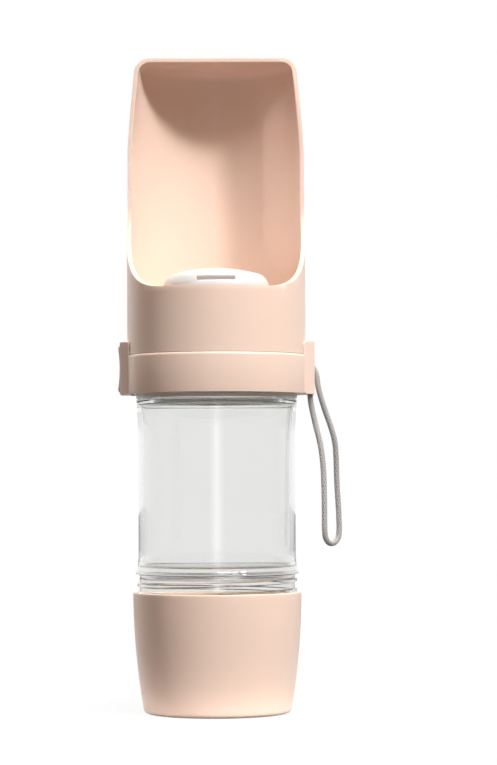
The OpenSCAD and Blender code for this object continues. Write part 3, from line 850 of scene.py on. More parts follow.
@dataclass
class Stack:
    """Radii and heights that the pieces share."""

    trough_r: float = 35.2
    trough_wall: float = 1.6
    waist_r: float = 30.9
    wall: float = 1.8
    skirt_r: float = 30.5
    neck_r: float = 27.0
    cup_bore: float = 31.75
    cup_rim_r: float = 33.05
    cap_bore: float = 28.25
    cap_r: float = 30.2
    deck_r: float = 32.1
    collar_r: float = 35.7
    collar_in: float = 33.9
    shelf_z: float = 36.0
    skirt_z: float = 37.5
    cup_h: float = 47.5
    bead_z: float = 54.5
    shoulder_z: float = 123.2
    neck_z: float = 133.5
    cap_z: float = 123.5
    collar_z: float = 125.0
    collar_top: float = 140.6
    deck_z: float = 135.0
    deck_top: float = 137.5
    lip_z: float = 166.0
    top_z: float = 259.1
    floor_z: float = 156.9
    floor_top: float = 158.5
    cover_top: float = 175.0
    ear_x: float = 38.6
    ear_w: float = 18.8
    ear_face_w: float = 10.0
    ear_h: float = 20.5
    rod_z: float = 140.9
    button_w: float = 8.4
    button_h: float = 18.1
    button_corner: float = 1.4
    cover_r: float = 21.0
    cord_in: float = 1.7
    pitch: float = 4.0
    foot_thread_z: float = 40.2
    head_thread_z: float = 125.8
    mate_shift: float = 1.5056
    flange_h: float = 1.8
    press: float = 0.05
    fit: float = 0.1
    ease: float = 0.2
    cup_taper: float = 4.3
    shoulder_flare: float = 0.85
    shoulder_curve: float = 20.0
    foot_flare: float = 0.65
    foot_curve: float = 9.0

    def cup_side(self, z: float) -> float:
        """Outer radius of the food cup at a height."""
        return self.cup_rim_r - self.cup_taper * ((self.cup_h - z) / self.cup_h) ** 2

    def body_side(self, z: float) -> float:
        """Outer radius of the bottle at a height.

        Args:
            z: The height.

        Returns:
            The radius.
        """
        up = max(0.0, (z - self.shoulder_z) / self.shoulder_curve + 1)
        down = max(0.0, (self.bead_z - z) / self.foot_curve + 1)
        return self.waist_r + self.shoulder_flare * up * up + self.foot_flare * down * down

    def ridge_turn(self, z: float, zero_z: float) -> float:
        """Angle in degrees at which a ridge reaches a height, from where its angle is 0."""
        return (z - zero_z) / self.pitch * 360


@dataclass
class Thread:
    """A helical thread ridge on a neck or in a bore.

    It runs from a first to a last angle in degrees, and its angle is 0 at the height zero_z.
    """

    wall_r: float
    outwards: bool
    zero_z: float
    first: float
    last: float
    pitch: float
    height: float = 0.9
    root: float = 0.35
    root_w: float = 2.0
    tip_w: float = 1.0
    step: float = 6.0
    fade: int = 6

    def build(self, name: str) -> bpy.types.Object:
        """Sweeps the ridge's section up the helix, and fades both its ends out.

        Args:
            name: Name of the new object.

        Returns:
            The ridge, a closed solid, in object mode.
        """
        sign = 1 if self.outwards else -1
        slope = (self.root_w - self.tip_w) / 2 / self.height
        low, high = self.wall_r - sign * self.root, self.wall_r + sign * self.height
        half, tip = self.root_w / 2 + slope * self.root, self.tip_w / 2
        turn = math.radians(self.first)
        z = self.zero_z + self.pitch * self.first / 360
        section = [(low, z - half), (high, z - tip), (high, z + tip), (low, z + half)]
        corners = [(r * math.cos(turn), r * math.sin(turn), h) for r, h in section]
        ridge = draw(name, corners, True)
        done()
        steps = round((self.last - self.first) / self.step)
        sweep = math.radians(self.step * steps)
        modify(
            ridge, "SCREW", axis="Z", angle=sweep, steps=steps, render_steps=steps,
            screw_offset=self.pitch * MM * sweep / math.tau, use_smooth_shade=False,
        )

        def is_crest(vert: bmesh.types.BMVert) -> bool:
            """Whether a vertex lies on the ridge's top."""
            return abs(vert.co.xy.length - high * MM) < 0.01 * MM

        edit(ridge)
        flat = (self.wall_r - sign * self.root * 0.5) / high
        for ring in [*range(self.fade), *range(steps, steps - self.fade, -1)]:
            share = min(ring, steps - ring) / self.fade
            scale = flat + (1 - flat) * math.sin(share * math.pi / 2)
            pick(ridge, "VERT", lambda vert: vert.index // 4 == ring and is_crest(vert))
            bpy.ops.transform.resize(value=(scale, scale, 1), center_override=(0, 0, 0))
        pick(ridge, "VERT", lambda vert: vert.index < 4)
        bpy.ops.mesh.edge_face_add()
        pick(ridge, "VERT", lambda vert: vert.index >= steps * 4)
        bpy.ops.mesh.edge_face_add()
        tidy_mesh(0.0001)
        done()
        return ridge


@dataclass
class FoodCup:
    """The blush cup that screws under the bottle."""

    sizes: Stack
    floor: float = 2.2
    recess: float = 1.0
    foot_round: float = 2.2
    foot_w: float = 3.0
    side_wall: float = 1.8
    inner_round: float = 4.0
    shelf_h: float = 1.6
    rim_round: float = 0.5
    bore_round: float = 0.3
    thread_low: float = 4.4
    thread_high: float = 1.6
    steps: int = 26

    def outline(self) -> list[Point]:
        """The cup's section, from the middle of its foot round to its floor.

        Returns:
            Radius and height of each point.
        """
        s, ease = self.sizes, self.sizes.ease
        foot_r = s.cup_side(self.foot_round) - self.foot_round
        foot_in = foot_r - self.foot_w
        floor_in = self.recess + self.floor
        round_in = self.inner_round
        inner_r = s.cup_side(floor_in + round_in) - self.side_wall
        shelf_low = s.shelf_z - self.shelf_h
        shelf_r = s.skirt_r - s.wall
        rim, curve, corner = s.cup_h, self.rim_round, self.bore_round
        side = between(self.foot_round, rim - curve - 0.1, self.steps)
        low, high = floor_in + round_in, shelf_low - 2
        inside = between(high, low, self.steps)
        return [
            (0, self.recess), (foot_in - 0.3, self.recess), (foot_in, self.recess - 0.3),
            (foot_in, ease), (foot_in + ease, 0), (foot_r - 0.8, 0),
            *arc((foot_r, self.foot_round), self.foot_round, -90, -8, 10)[1:],
            *[(s.cup_side(z), z) for z in side],
            *arc((s.cup_rim_r - curve, rim - curve), curve, 20, 90, 5),
            *arc((s.cup_bore + corner, rim - corner), corner, 90, 180, 4),
            (s.cup_bore, s.shelf_z + ease), (s.cup_bore - ease, s.shelf_z),
            (shelf_r + ease, s.shelf_z), (shelf_r, s.shelf_z - ease), (shelf_r, shelf_low),
            (s.cup_side(high) - self.side_wall, high),
            *[(s.cup_side(z) - self.side_wall, z) for z in inside],
            *arc((inner_r - round_in, low), round_in, -12, -90, 8), (0, floor_in),
        ]

    def build(self, palette: Palette) -> None:
        """Makes the cup with its inner thread.

        Args:
            palette: The finishes.
        """
        s = self.sizes
        cup = lathe("food_cup_shell", self.outline(), closed=False)
        zero_z = s.foot_thread_z + s.mate_shift
        first = s.ridge_turn(s.shelf_z + self.thread_low, zero_z)
        last = s.ridge_turn(s.cup_h - self.thread_high, zero_z)
        thread = Thread(s.cup_bore, False, zero_z, first, last, s.pitch).build("cup_thread")
        combine(cup, [thread], "UNION")
        palette.hand_over(finish_smooth(cup), Finish.BLUSH, "food_cup", "food_cup")


@dataclass
class WaterBottle:
    """The clear bottle: body, bead, threaded skirt and threaded neck."""

    sizes: Stack
    bead_h: float = 1.0
    bead_proud: float = 0.65
    shoulder_round: float = 0.6
    inner_round: float = 1.2
    neck_round: float = 0.5
    skirt_round: float = 0.5
    dome_round: float = 3.0
    floor_rise: float = 0.6
    skirt_clear: float = 2.0
    bead_clear: float = 1.5
    neck_ridge: float = 495.0
    steps: int = 30

    def outline(self) -> list[Point]:
        """The bottle's section, from the inside of its floor round to the underside.

        Returns:
            Radius and height of each point.
        """
        s, ease = self.sizes, self.sizes.ease
        neck_in, skirt_in = s.neck_r - s.wall, s.skirt_r - s.wall
        floor_low = s.bead_z + self.floor_rise
        floor_high = floor_low + s.wall
        curve, top = self.inner_round, self.shoulder_round
        low, high = floor_high + curve, s.shoulder_z - s.wall - curve
        inside = [low, *between(low, high, self.steps)]
        out_low, out_high = s.bead_z + self.bead_h + 0.4, s.shoulder_z - top
        outside = [out_high, *between(out_high, out_low, self.steps)]
        bead_out = s.body_side(s.bead_z + self.bead_h) + self.bead_proud
        half, roof = self.bead_h / 2, s.shoulder_z - s.wall
        rim, hem, dome = self.neck_round, self.skirt_round, self.dome_round
        return [
            (0, floor_high + 1),
            *arc((s.body_side(low) - s.wall - curve, low), curve, -90, -8, 8),
            *[(s.body_side(z) - s.wall, z) for z in inside],
            *arc((s.body_side(high) - s.wall - curve, high), curve, 8, 90, 6),
            (neck_in + 0.5, roof), (neck_in, roof + 0.5),
            (neck_in, s.neck_z - 0.3), (neck_in + 0.3, s.neck_z),
            *arc((s.neck_r - rim, s.neck_z - rim), rim, 90, 0, 4),
            (s.neck_r, s.shoulder_z + 0.3), (s.neck_r + 0.3, s.shoulder_z),
            *arc((s.body_side(s.shoulder_z) - top, s.shoulder_z - top), top, 90, 12, 7),
            *[(s.body_side(z), z) for z in outside],
            *arc((bead_out - half, s.bead_z + half), half, 60, -60, 8),
            (bead_out - half, s.bead_z), (s.skirt_r + ease, s.bead_z),
            (s.skirt_r, s.bead_z - ease),
            *arc((s.skirt_r - hem, s.skirt_z + hem), hem, 0, -90, 4),
            (skirt_in + ease, s.skirt_z), (skirt_in, s.skirt_z + ease),
            *arc((skirt_in - dome, floor_low - dome), dome, 0, 90, 8),
            (0, floor_low + 1),
        ]

    def build(self, palette: Palette) -> None:
        """Makes the bottle with the threads of its skirt and its neck.

        Args:
            palette: The finishes.
        """
        s = self.sizes
        bottle = lathe("bottle_wall", self.outline(), closed=False)
        zero_z = s.foot_thread_z
        first = s.ridge_turn(s.skirt_z + self.skirt_clear, zero_z)
        last = s.ridge_turn(s.bead_z - self.bead_clear, zero_z)
        foot = Thread(s.skirt_r, True, zero_z, first, last, s.pitch).build("skirt_thread")
        neck = Thread(s.neck_r, True, s.head_thread_z, 0, self.neck_ridge, s.pitch)
        combine(bottle, [foot, neck.build("neck_thread")], "UNION")
        palette.hand_over(finish_smooth(bottle, 40), Finish.CLEAR, "bottle", "water_bottle")


@dataclass
class Trough:
    """The scoop: a cylinder cut open towards the front, with its floor and spigot."""

    sizes: Stack
    top_round: float = 6.2
    crown_taper: float = 2.7
    crown_h: float = 33.0
    lip_flat: float = 7.3
    sweep_h: float = 34.0
    edge_back: float = 3.5
    rim_round: float = 0.6
    crown_bow: float = 1.3
    lip_handle: float = 15.0
    hole_r: float = 13.0
    floor_round: float = 1.5
    snap: float = 0.7
    ledge_w: float = 1.2
    kerb_w: float = 1.2
    kerb_h: float = 1.2
    rings: int = 24
    recess_w: float = 9.6
    recess_top: float = 144.9
    rod_hole_r: float = 3.1

    def crown_side(self, wall: float, steps: int = 12) -> list[Point]:
        """The side that draws in towards the crown, and the round into the roof.

        Args:
            wall: How far inside the outer skin it lies.
            steps: Facets of each of the two curves.

        Returns:
            The points, from the straight side up to the roof.
        """
        s = self.sizes
        tilt = math.atan(self.crown_bow * self.crown_taper / self.crown_h)
        r = self.top_round - wall
        high = s.top_z - self.top_round
        start = high + r * math.sin(tilt) - self.crown_h
        side = []
        for i in range(steps):
            drawn_in = self.crown_taper * (i / steps) ** self.crown_bow
            side.append((s.trough_r - wall - drawn_in, start + self.crown_h * i / steps))
        centre = (s.trough_r - self.crown_taper - wall - r * math.cos(tilt), high)
        return [*side, *arc(centre, r, math.degrees(tilt), 90, steps)]

    def outline(self) -> list[Point]:
        """The scoop's section before it is cut, from its crown round to its inside.

        Returns:
            Radius and height of each point.
        """
        s, ease = self.sizes, self.sizes.ease
        out, wall, top = s.trough_r, s.trough_wall, s.top_z
        spigot_r = s.collar_in - s.fit
        spigot_in = spigot_r - wall
        ledge_r, ledge_z = spigot_in - self.ledge_w, s.deck_top + s.press
        start = s.collar_z + s.flange_h + s.fit
        near, high, corner = s.cover_r + ease, s.floor_top + self.kerb_h, self.floor_round
        far, low = near + self.kerb_w, s.floor_top + corner
        snap = ((0, 2), (self.snap, 1.2), (self.snap, 0.5), (0, 0.3))
        outer = between(self.crown_side(0)[0][1], s.collar_top, self.rings)[:-1]
        inner = between(low, self.crown_side(wall)[0][1], self.rings)[:-1]
        return [
            (0, top), *reversed(self.crown_side(0)),
            *[(out, z) for z in outer],
            (out, s.collar_top), (spigot_r, s.collar_top), (spigot_r, start), (spigot_in, start),
            *[(spigot_in - proud, s.deck_z - drop) for proud, drop in snap],
            (spigot_in, ledge_z), (ledge_r, ledge_z),
            (ledge_r, s.collar_top + wall), (out - wall, s.collar_top + wall),
            (out - wall, s.floor_z), (self.hole_r, s.floor_z), (self.hole_r, s.floor_top),
            (near, s.floor_top), (near, high - ease), (near + ease, high), (far - ease, high),
            (far, high - ease), (far, s.floor_top + ease), (far + ease, s.floor_top),
            *arc((out - wall - corner, low), corner, -90, 0, 5), *[(out - wall, z) for z in inner],
            *self.crown_side(wall), (0, top - wall),
        ]

    def edge(self) -> list[Point]:
        """The rim seen from the side: depth and height of its points.

        Returns:
            The points, from the lip up to the upright edge.
        """
        s = self.sizes
        y0 = -s.trough_r + self.lip_flat
        back, lip, sweep = self.edge_back, s.lip_z, self.sweep_h
        low_handle, high_handle = (y0 + self.lip_handle, lip + 0.4), (back, lip + sweep * 0.6)
        return [(y0, lip), *bend((y0, lip), low_handle, high_handle, (back, lip + sweep))]

    def build(self, palette: Palette) -> None:
        """Spins the scoop, cuts it open and rounds its rim.

        Args:
            palette: The finishes.
        """
        s = self.sizes
        scoop = lathe("scoop", self.outline(), closed=False)
        front, above, aside = -s.trough_r - 5, s.top_z + 5, 45
        rim = [(front, s.lip_z), *self.edge(), (self.edge_back, above), (front, above)]
        cutter = prism("scoop_cut", [(-aside, y, z) for y, z in rim], (2 * aside, 0, 0))
        combine(scoop, [cutter], "DIFFERENCE")
        line = [Vector(p) * MM for p in rim[:-1]]

        def off_line(vert: bmesh.types.BMVert) -> float:
            """Distance of a vertex from the rim's line, seen from the side.

            Args:
                vert: The vertex.

            Returns:
                The distance in metres.
            """
            place = Vector((vert.co.y, vert.co.z))
            best = math.inf
            for a, b in zip(line, line[1:]):
                way = b - a
                share = min(1.0, max(0.0, (place - a).dot(way) / way.length_squared))
                best = min(best, (a + way * share - place).length)
            return best

        # The cut leaves very short edges along the rim, which would spoil its rounding
        edit(scoop)
        pick(scoop, "VERT", lambda vert: off_line(vert) < NEAR)
        bpy.ops.mesh.remove_doubles(threshold=0.12 * MM)
        done()
        soften(
            scoop,
            lambda edge: is_sharp(edge, 50) and all(off_line(v) < NEAR for v in edge.verts),
            self.rim_round,
        )
        half, outside = self.recess_w / 2, -s.trough_r - 1
        low, high = s.collar_top - 1, self.recess_top
        recess = block("recess", (outside, -half, low), (-s.collar_in - 0.6, half, high))
        bore = rod("bore", self.rod_hole_r, (outside, 0, s.rod_z), s.trough_r, "X")
        combine(scoop, [recess, bore], "DIFFERENCE")
        palette.hand_over(finish_smooth(scoop), Finish.BLUSH, "head", "drinking_trough")


@dataclass
class ValveSpring:
    """The coil that shuts the valve, and that closes up as the valve lifts."""

    lift: float = 2.4

    def build(self, palette: Palette) -> None:
        """Copies the CAD coil.

        Args:
            palette: The finishes.
        """
        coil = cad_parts["valve_spring"].data.copy()
        spring = bpy.data.objects.new("valve_spring_coil", coil)
        bpy.context.scene.collection.objects.link(spring)
        palette.hand_over(spring, Finish.STEEL, "head", "valve_spring")
        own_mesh(spring)


@dataclass
class OutletCover:
    """The white domed cover over the outlet, with its slot."""

    sizes: Stack
    wall: float = 1.6
    corner: float = 6.0
    crown: float = 2.4
    rings: int = 8
    slot_w: float = 15.0
    slot_h: float = 1.8
    slot_drop: float = 4.2
    margin: float = 0.5

    def build(self, palette: Palette) -> None:
        """Makes the dome and cuts its slot.

        Args:
            palette: The finishes.
        """
        s, ease = self.sizes, self.sizes.ease
        top, r = s.cover_top, s.cover_r
        flat_r = r - self.corner
        tilt = math.atan(2 * self.crown / flat_r)
        crown_r = flat_r + self.corner * math.sin(tilt)
        shoulder = top - self.crown - self.corner * math.cos(tilt)
        meet = 90 - math.degrees(tilt)
        shares = between(1, 0, self.rings)
        crown = [(crown_r * share, top - self.crown * share**2) for share in shares]
        roof = top - self.wall - 0.3
        outline = [
            (0, roof), (flat_r / 2, roof - self.crown / 4),
            *arc((flat_r, shoulder), self.corner - self.wall, meet, 0, 8),
            (r - self.wall, s.floor_top + ease), (r - self.wall + ease, s.floor_top),
            (r - ease, s.floor_top), (r, s.floor_top + ease),
            *arc((flat_r, shoulder), self.corner, 0, meet, 12), *crown,
        ]
        cover = lathe("outlet_dome", outline, 128, closed=False)
        low = top - self.slot_drop - self.slot_h
        half = self.slot_w / 2
        slot = block("slot", (-half, -r - 1, low), (half, -1, low + self.slot_h))
        soften(slot, lambda edge: runs_along(edge, 1), 0.5, 4)
        combine(cover, [slot], "DIFFERENCE")

        def at_mouth(vert: bmesh.types.BMVert) -> bool:
            """Whether a vertex lies at the slot's mouth.

            Args:
                vert: The vertex.

            Returns:
                True at the mouth.
            """
            x, y, z = vert.co / MM
            level = -self.margin < z - low < self.slot_h + self.margin
            return level and y < -r * 0.6 and abs(x) < half + self.margin

        soften(
            cover,
            lambda edge: is_sharp(edge, 40) and all(at_mouth(v) for v in edge.verts),
            0.2, 2,
        )
        palette.hand_over(finish_smooth(cover), Finish.WHITE, "head", "outlet_cover")


@dataclass
class Collar:
    """The blush band with its right ear, and the button's frame in its gap."""

    sizes: Stack
    corner: float = 1.4
    soft: float = 0.4
    top_round: float = 1.2
    cord_hole_r: float = 1.45
    cord_hole_h: float = 5.5
    slot_x: float = 34.2
    slot_rise: Point = (6.4, 14.6)
    button_gap: float = 0.25
    frame_back: float = 0.6

    def plate(self, name: str, x: Point, width: float, z: Point, corner: float) -> bpy.types.Object:
        """Makes an upright block with rounded corners.

        Args:
            name: Name of the new object.
            x: Its first and last place along X.
            width: Its size along Y.
            z: Its lowest and highest place.
            corner: Rounding of its four long edges.

        Returns:
            The solid.
        """
        plate = block(name, (x[0], -width / 2, z[0]), (x[1], width / 2, z[1]))
        soften(plate, lambda edge: runs_along(edge, 0), corner, 6)
        return plate

    def ear(self, name: str, reach: float, side: int) -> bpy.types.Object:
        """Makes the block of an ear, with slanted sides and hollowed to sit round the collar.

        Args:
            name: Name of the new object.
            reach: How far out its face lies.
            side: 1 for the right ear, -1 for the left one.

        Returns:
            The solid.
        """
        s = self.sizes
        near, far = side * (s.collar_in - 3), side * reach
        low, high = s.collar_z, s.collar_z + s.ear_h
        ends = (min(near, far), max(near, far))
        ear = self.plate(name, ends, s.ear_w, (low, high), self.corner)
        half, face = s.ear_w / 2, s.ear_face_w / 2
        slant_x = math.sqrt(s.collar_r**2 - half**2)
        plan = [
            (s.collar_in - 4, -half - 1), (slant_x, -half - 1), (slant_x, -half), (s.ear_x, -face),
            (s.ear_x, face), (slant_x, half), (slant_x, half + 1), (s.collar_in - 4, half + 1),
        ]
        slant = prism("slant", [(side * x, y, low - 1) for x, y in plan], (0, 0, s.ear_h + 2))
        combine(ear, [slant], "INTERSECT")
        soften(ear, lambda edge: all(abs(v.co.x - far * MM) < NEAR for v in edge.verts), self.soft)
        tall = s.collar_top + s.press - low + 1
        band = rod("inside", s.collar_in + s.press, (0, 0, low - 1), tall, "Z", FACETS)
        trough = rod("above", s.trough_r + s.fit, (0, 0, s.collar_top), s.ear_h, "Z", FACETS)
        combine(ear, [band, trough], "DIFFERENCE")
        return ear

    def ring(self) -> bpy.types.Object:
        """Makes the band with the gap for the button's frame.

        Returns:
            The solid.
        """
        s = self.sizes
        inner, flange, curve = s.cap_r + s.fit, s.collar_z + s.flange_h, self.top_round
        outline = [
            (inner, s.collar_z + 0.15), (inner + 0.15, s.collar_z),
            *arc((s.collar_r - 0.35, s.collar_z + 0.35), 0.35, -90, 0, 4),
            *arc((s.collar_r - curve, s.collar_top - curve), curve, 0, 90, 8),
            (s.collar_in + 0.15, s.collar_top), (s.collar_in, s.collar_top - 0.15),
            (s.collar_in, flange), (inner, flange),
        ]
        ring = lathe("collar_band", outline)
        half = s.ear_w / 2 + s.press
        gap_x = math.sqrt(s.collar_in**2 - half**2) - s.press
        low, high = s.collar_z - 1, s.collar_top + 1
        gap = block("gap", (-s.collar_r - 1, -half, low), (-gap_x, half, high))
        combine(ring, [gap], "DIFFERENCE")
        return ring

    def build(self, palette: Palette) -> None:
        """Makes the band with its ear and cord holes, then the button's frame.

        Args:
            palette: The finishes.
        """
        s = self.sizes
        ring = self.ring()
        combine(ring, [self.ear("right_ear", s.ear_x, 1)], "UNION")
        start, hole_r = (s.ear_x - s.cord_in, 0, s.collar_z - 1), self.cord_hole_r
        hole = rod("hole", hole_r, start, self.cord_hole_h, "Z")
        low, high = (s.collar_z + rise for rise in self.slot_rise)
        ends = (self.slot_x, s.ear_x + 3)
        slot = self.plate("cord_slot", ends, 2 * hole_r, (low, high), hole_r - 0.02)
        combine(ring, [hole, slot], "DIFFERENCE")
        palette.hand_over(finish_smooth(ring), Finish.BLUSH, "head", "collar_ring")

        holder = self.ear("button_holder", s.ear_x - self.frame_back, -1)
        wide, tall = (size + 2 * self.button_gap for size in (s.button_w, s.button_h))
        low = s.collar_z + (s.ear_h - s.button_h) / 2 - self.button_gap
        ends = (-s.ear_x - 1, -s.collar_in + 4)
        opening = self.plate("opening", ends, wide, (low, low + tall), s.button_corner)
        combine(holder, [opening], "DIFFERENCE")
        palette.hand_over(finish_smooth(holder), Finish.BLUSH, "head", "button_frame")


@dataclass
class Button:
    """The press button in the left ear."""

    sizes: Stack
    thick: float = 1.4
    dish_r: float = 60.0
    dish_deep: float = 0.5
    boss_r: float = 2.6
    boss_h: float = 2.05
    bore_r: float = 1.55

    def build(self, palette: Palette) -> None:
        """Makes the dished plate with the boss that grips the push rod.

        Args:
            palette: The finishes.
        """
        s = self.sizes
        half, low = s.button_w / 2, s.collar_z + (s.ear_h - s.button_h) / 2
        face, back = -s.ear_x, -s.ear_x + self.thick
        button = block("button_plate", (face, -half, low), (back, half, low + s.button_h))
        soften(button, lambda edge: runs_along(edge, 0), s.button_corner, 6)
        dish_x, wide = face - self.dish_r + self.dish_deep, 20
        start = (dish_x, -wide / 2, low + s.button_h / 2)
        dish = rod("dish", self.dish_r, start, wide, "Y", 720)
        combine(button, [dish], "DIFFERENCE")
        middle = (face + self.thick / 2) * MM
        soften(
            button,
            lambda edge: is_sharp(edge, 40) and all(v.co.x < middle for v in edge.verts),
            0.25,
        )
        boss = rod("boss", self.boss_r, (back - s.press, 0, s.rod_z), self.boss_h, "X")
        combine(button, [boss], "UNION")
        bore = rod("bore", self.bore_r, (back, 0, s.rod_z), self.boss_h + 0.95, "X")
        combine(button, [bore], "DIFFERENCE")
        palette.hand_over(finish_smooth(button), Finish.BLUSH, "button", "side_button")


@dataclass
class BottleCap:
    """The blush inner cap: its lip shows as a thin ring under the collar, painted paler as painted
    light.
    """

    sizes: Stack
    port_r: float = 5.0
    post_r: float = 3.0
    post_ring: float = 23.0
    post_angles: tuple[float, ...] = (30.0, 150.0, 270.0)
    screw_r: float = 1.25
    screw_z: float = 137.95
    hole_h: float = 5.0
    rail_x: Point = (-10.0, 7.0)
    rail_y: float = 9.6
    rail_w: float = 2.0
    rail_top: float = 139.3
    thread_z: Point = (125.0, 130.6)

    def build(self, palette: Palette) -> None:
        """Makes the cap with its thread, screw posts and the fork's rails.

        Args:
            palette: The finishes.
        """
        s = self.sizes
        lip_r = s.body_side(s.shoulder_z)
        seat = s.deck_top + 1
        outline = [
            (s.cap_bore, s.cap_z), (lip_r - 0.3, s.cap_z), (lip_r, s.cap_z + 0.3),
            (lip_r, s.collar_z - 0.1), (lip_r - 0.1, s.collar_z), (s.cap_r, s.collar_z),
            (s.cap_r, s.deck_z), (s.deck_r, s.deck_z), (s.deck_r, s.deck_top),
            (self.port_r + 2.5, s.deck_top), (self.port_r + 2, seat), (self.port_r, seat),
            (self.port_r, s.deck_z), (s.cap_bore, s.deck_z),
        ]
        cap = lathe("cap_shell", outline)
        places, low = [], s.deck_top - 0.5
        for angle in self.post_angles:
            turn = math.radians(angle)
            places.append((self.post_ring * math.cos(turn), self.post_ring * math.sin(turn)))
        posts = [rod("post", self.post_r, (*p, low), self.hole_h, "Z", 32) for p in places]
        (near, far), half, top = self.rail_x, self.rail_w / 2, self.rail_top
        rails = [
            block("rail", (near, y - half, low), (far, y + half, top))
            for y in (-self.rail_y, self.rail_y)
        ]
        zero_z = s.head_thread_z - s.mate_shift
        first, last = (s.ridge_turn(z, zero_z) for z in self.thread_z)
        thread = Thread(s.cap_bore, False, zero_z, first, last, s.pitch).build("cap_thread")
        combine(cap, [*posts, *rails, thread], "UNION")
        bores = [
            rod("bore", self.screw_r, (*p, self.screw_z), self.hole_h, "Z", 32) for p in places
        ]
        combine(cap, bores, "DIFFERENCE")
        palette.hand_over(finish_smooth(cap), Finish.PALE, "head", "bottle_cap")


@dataclass
class Lanyard:
    """The cord loop at the right ear, from its blind hole round to its slot."""

    sizes: Stack
    diameter: float = 2.2
    length: float = 144.7
    loop: tuple[Point3, ...] = (
        (0, 0, 4.5), (0, 0, 2.2), (0, 0, 0), (0.4, -0.3, -4), (1.3, -0.8, -8.5),
        (2.4, -1.4, -13.5), (3.6, -2, -18.5), (4.5, -2.5, -24), (5, -2.9, -30),
        (5.2, -3.2, -36), (5.3, -3.5, -42.5), (5.3, -3.6, -49), (5.4, -3.5, -54.3),
        (5.6, -3.2, -56), (6.2, -2.5, -57.5), (7.1, -1.3, -58.5), (8.2, 0, -58.8),
        (9.3, 1.3, -58.5), (10.3, 2.5, -57.6), (11, 3.2, -56.3), (11.3, 3.5, -54.5),
        (11.3, 3.6, -49), (11, 3.5, -42.5), (10.6, 3.2, -36), (10.4, 2.8, -30),
        (10.2, 2.3, -24), (9.7, 1.8, -18.5), (8.3, 1.4, -13.2), (6.5, 1, -8),
        (4.9, 0.6, -3.2), (3.7, 0.3, 1), (3, 0.1, 4.4), (2.7, 0, 6.9), (2.1, 0, 9),
        (1.1, 0, 10.7), (-0.3, 0, 12.1), (-1.5, 0, 12.7), (-2.7, 0, 12.7),
    )

    def build(self) -> bpy.types.Object:
        """Draws the cord as one open curve through its route.

        Returns:
            The cord, as a curve.
        """
        s = self.sizes
        start = Vector((s.ear_x - s.cord_in, 0, s.collar_z))
        route = [(Vector(p) + start) * MM for p in self.loop]
        line = bpy.data.curves.new("lanyard", "CURVE")
        line.dimensions = "3D"
        line.bevel_depth = self.diameter / 2 * MM
        line.bevel_resolution = 5
        line.resolution_u = 8
        line.use_fill_caps = True
        spline = line.splines.new("BEZIER")
        spline.bezier_points.add(len(route) - 1)
        for point, place in zip(spline.bezier_points, route):
            point.co = place
            point.handle_left_type = point.handle_right_type = "AUTO"
        cord = bpy.data.objects.new("lanyard", line)
        bpy.context.scene.collection.objects.link(cord)
        return cord


# Studio


@dataclass(frozen=True)
class Lamp:
    """A soft panel lamp that faces the object.

    Azimuth runs from the front round to the right, and height is its angle above level.
    Aim is the height in metres that it points at. A beam narrower than 180 degrees keeps its
    level in the middle.
    """

    name: str
    azimuth: float
    height: float
    distance: float
    width: float
    tall: float
    level: float
    aim: float = 0.14
    mirrored: bool = True
    beam: float = 180.0

    def place(self) -> None:
        """Adds the lamp. A level of 1 lights a facing surface fully."""
        turn, rise = math.radians(self.azimuth), math.radians(self.height)
        target = Vector((0, 0, self.aim))
        way = Vector((
            math.sin(turn) * math.cos(rise), -math.cos(turn) * math.cos(rise), math.sin(rise)
        ))
        light = bpy.data.lights.new(self.name, "AREA")
        light.shape = "RECTANGLE"
        light.size, light.size_y = self.width, self.tall
        half = math.radians(self.beam / 2)
        light.spread = 2 * half
        light.energy = self.level * math.pi**2 * self.distance**2 * (1 - half / math.tan(half))
        lamp = bpy.data.objects.new(self.name, light)
        lamp.location = target + way * self.distance
        lamp.rotation_euler = (-way).to_track_quat("-Z", "Y").to_euler()
        lamp.visible_camera = False
        lamp.visible_glossy = lamp.visible_transmission = self.mirrored
        bpy.context.scene.collection.objects.link(lamp)


LAMPS = (
    Lamp("key", 44, 37.8, 4.0, 0.45, 0.45, 0.67, 0.25),
    Lamp("fill", 18, 50, 3.0, 1.5, 1.0, 0.56),
    Lamp("top", 40, 80, 1.2, 0.6, 0.6, 0.68),
    Lamp("side", 110, 15, 1.3, 0.35, 1.2, 0.20, mirrored=False),
    Lamp("rim", -136, 15, 1.3, 0.4, 1.2, 0.90, mirrored=False),
    Lamp("scoop", -66, 6, 1.3, 0.05, 0.02, 0.30, 0.212, mirrored=False, beam=4.3),
    *(
        Lamp(name, 0, 2, distance, width, 0.32, level, 0.15)
        for name, distance, width, level in (
            ("strip core", 0.60, 0.06, 0.007),
            ("strip middle", 0.61, 0.13, 0.014),
            ("strip edge", 0.62, 0.22, 0.022),
        )
    ),
)


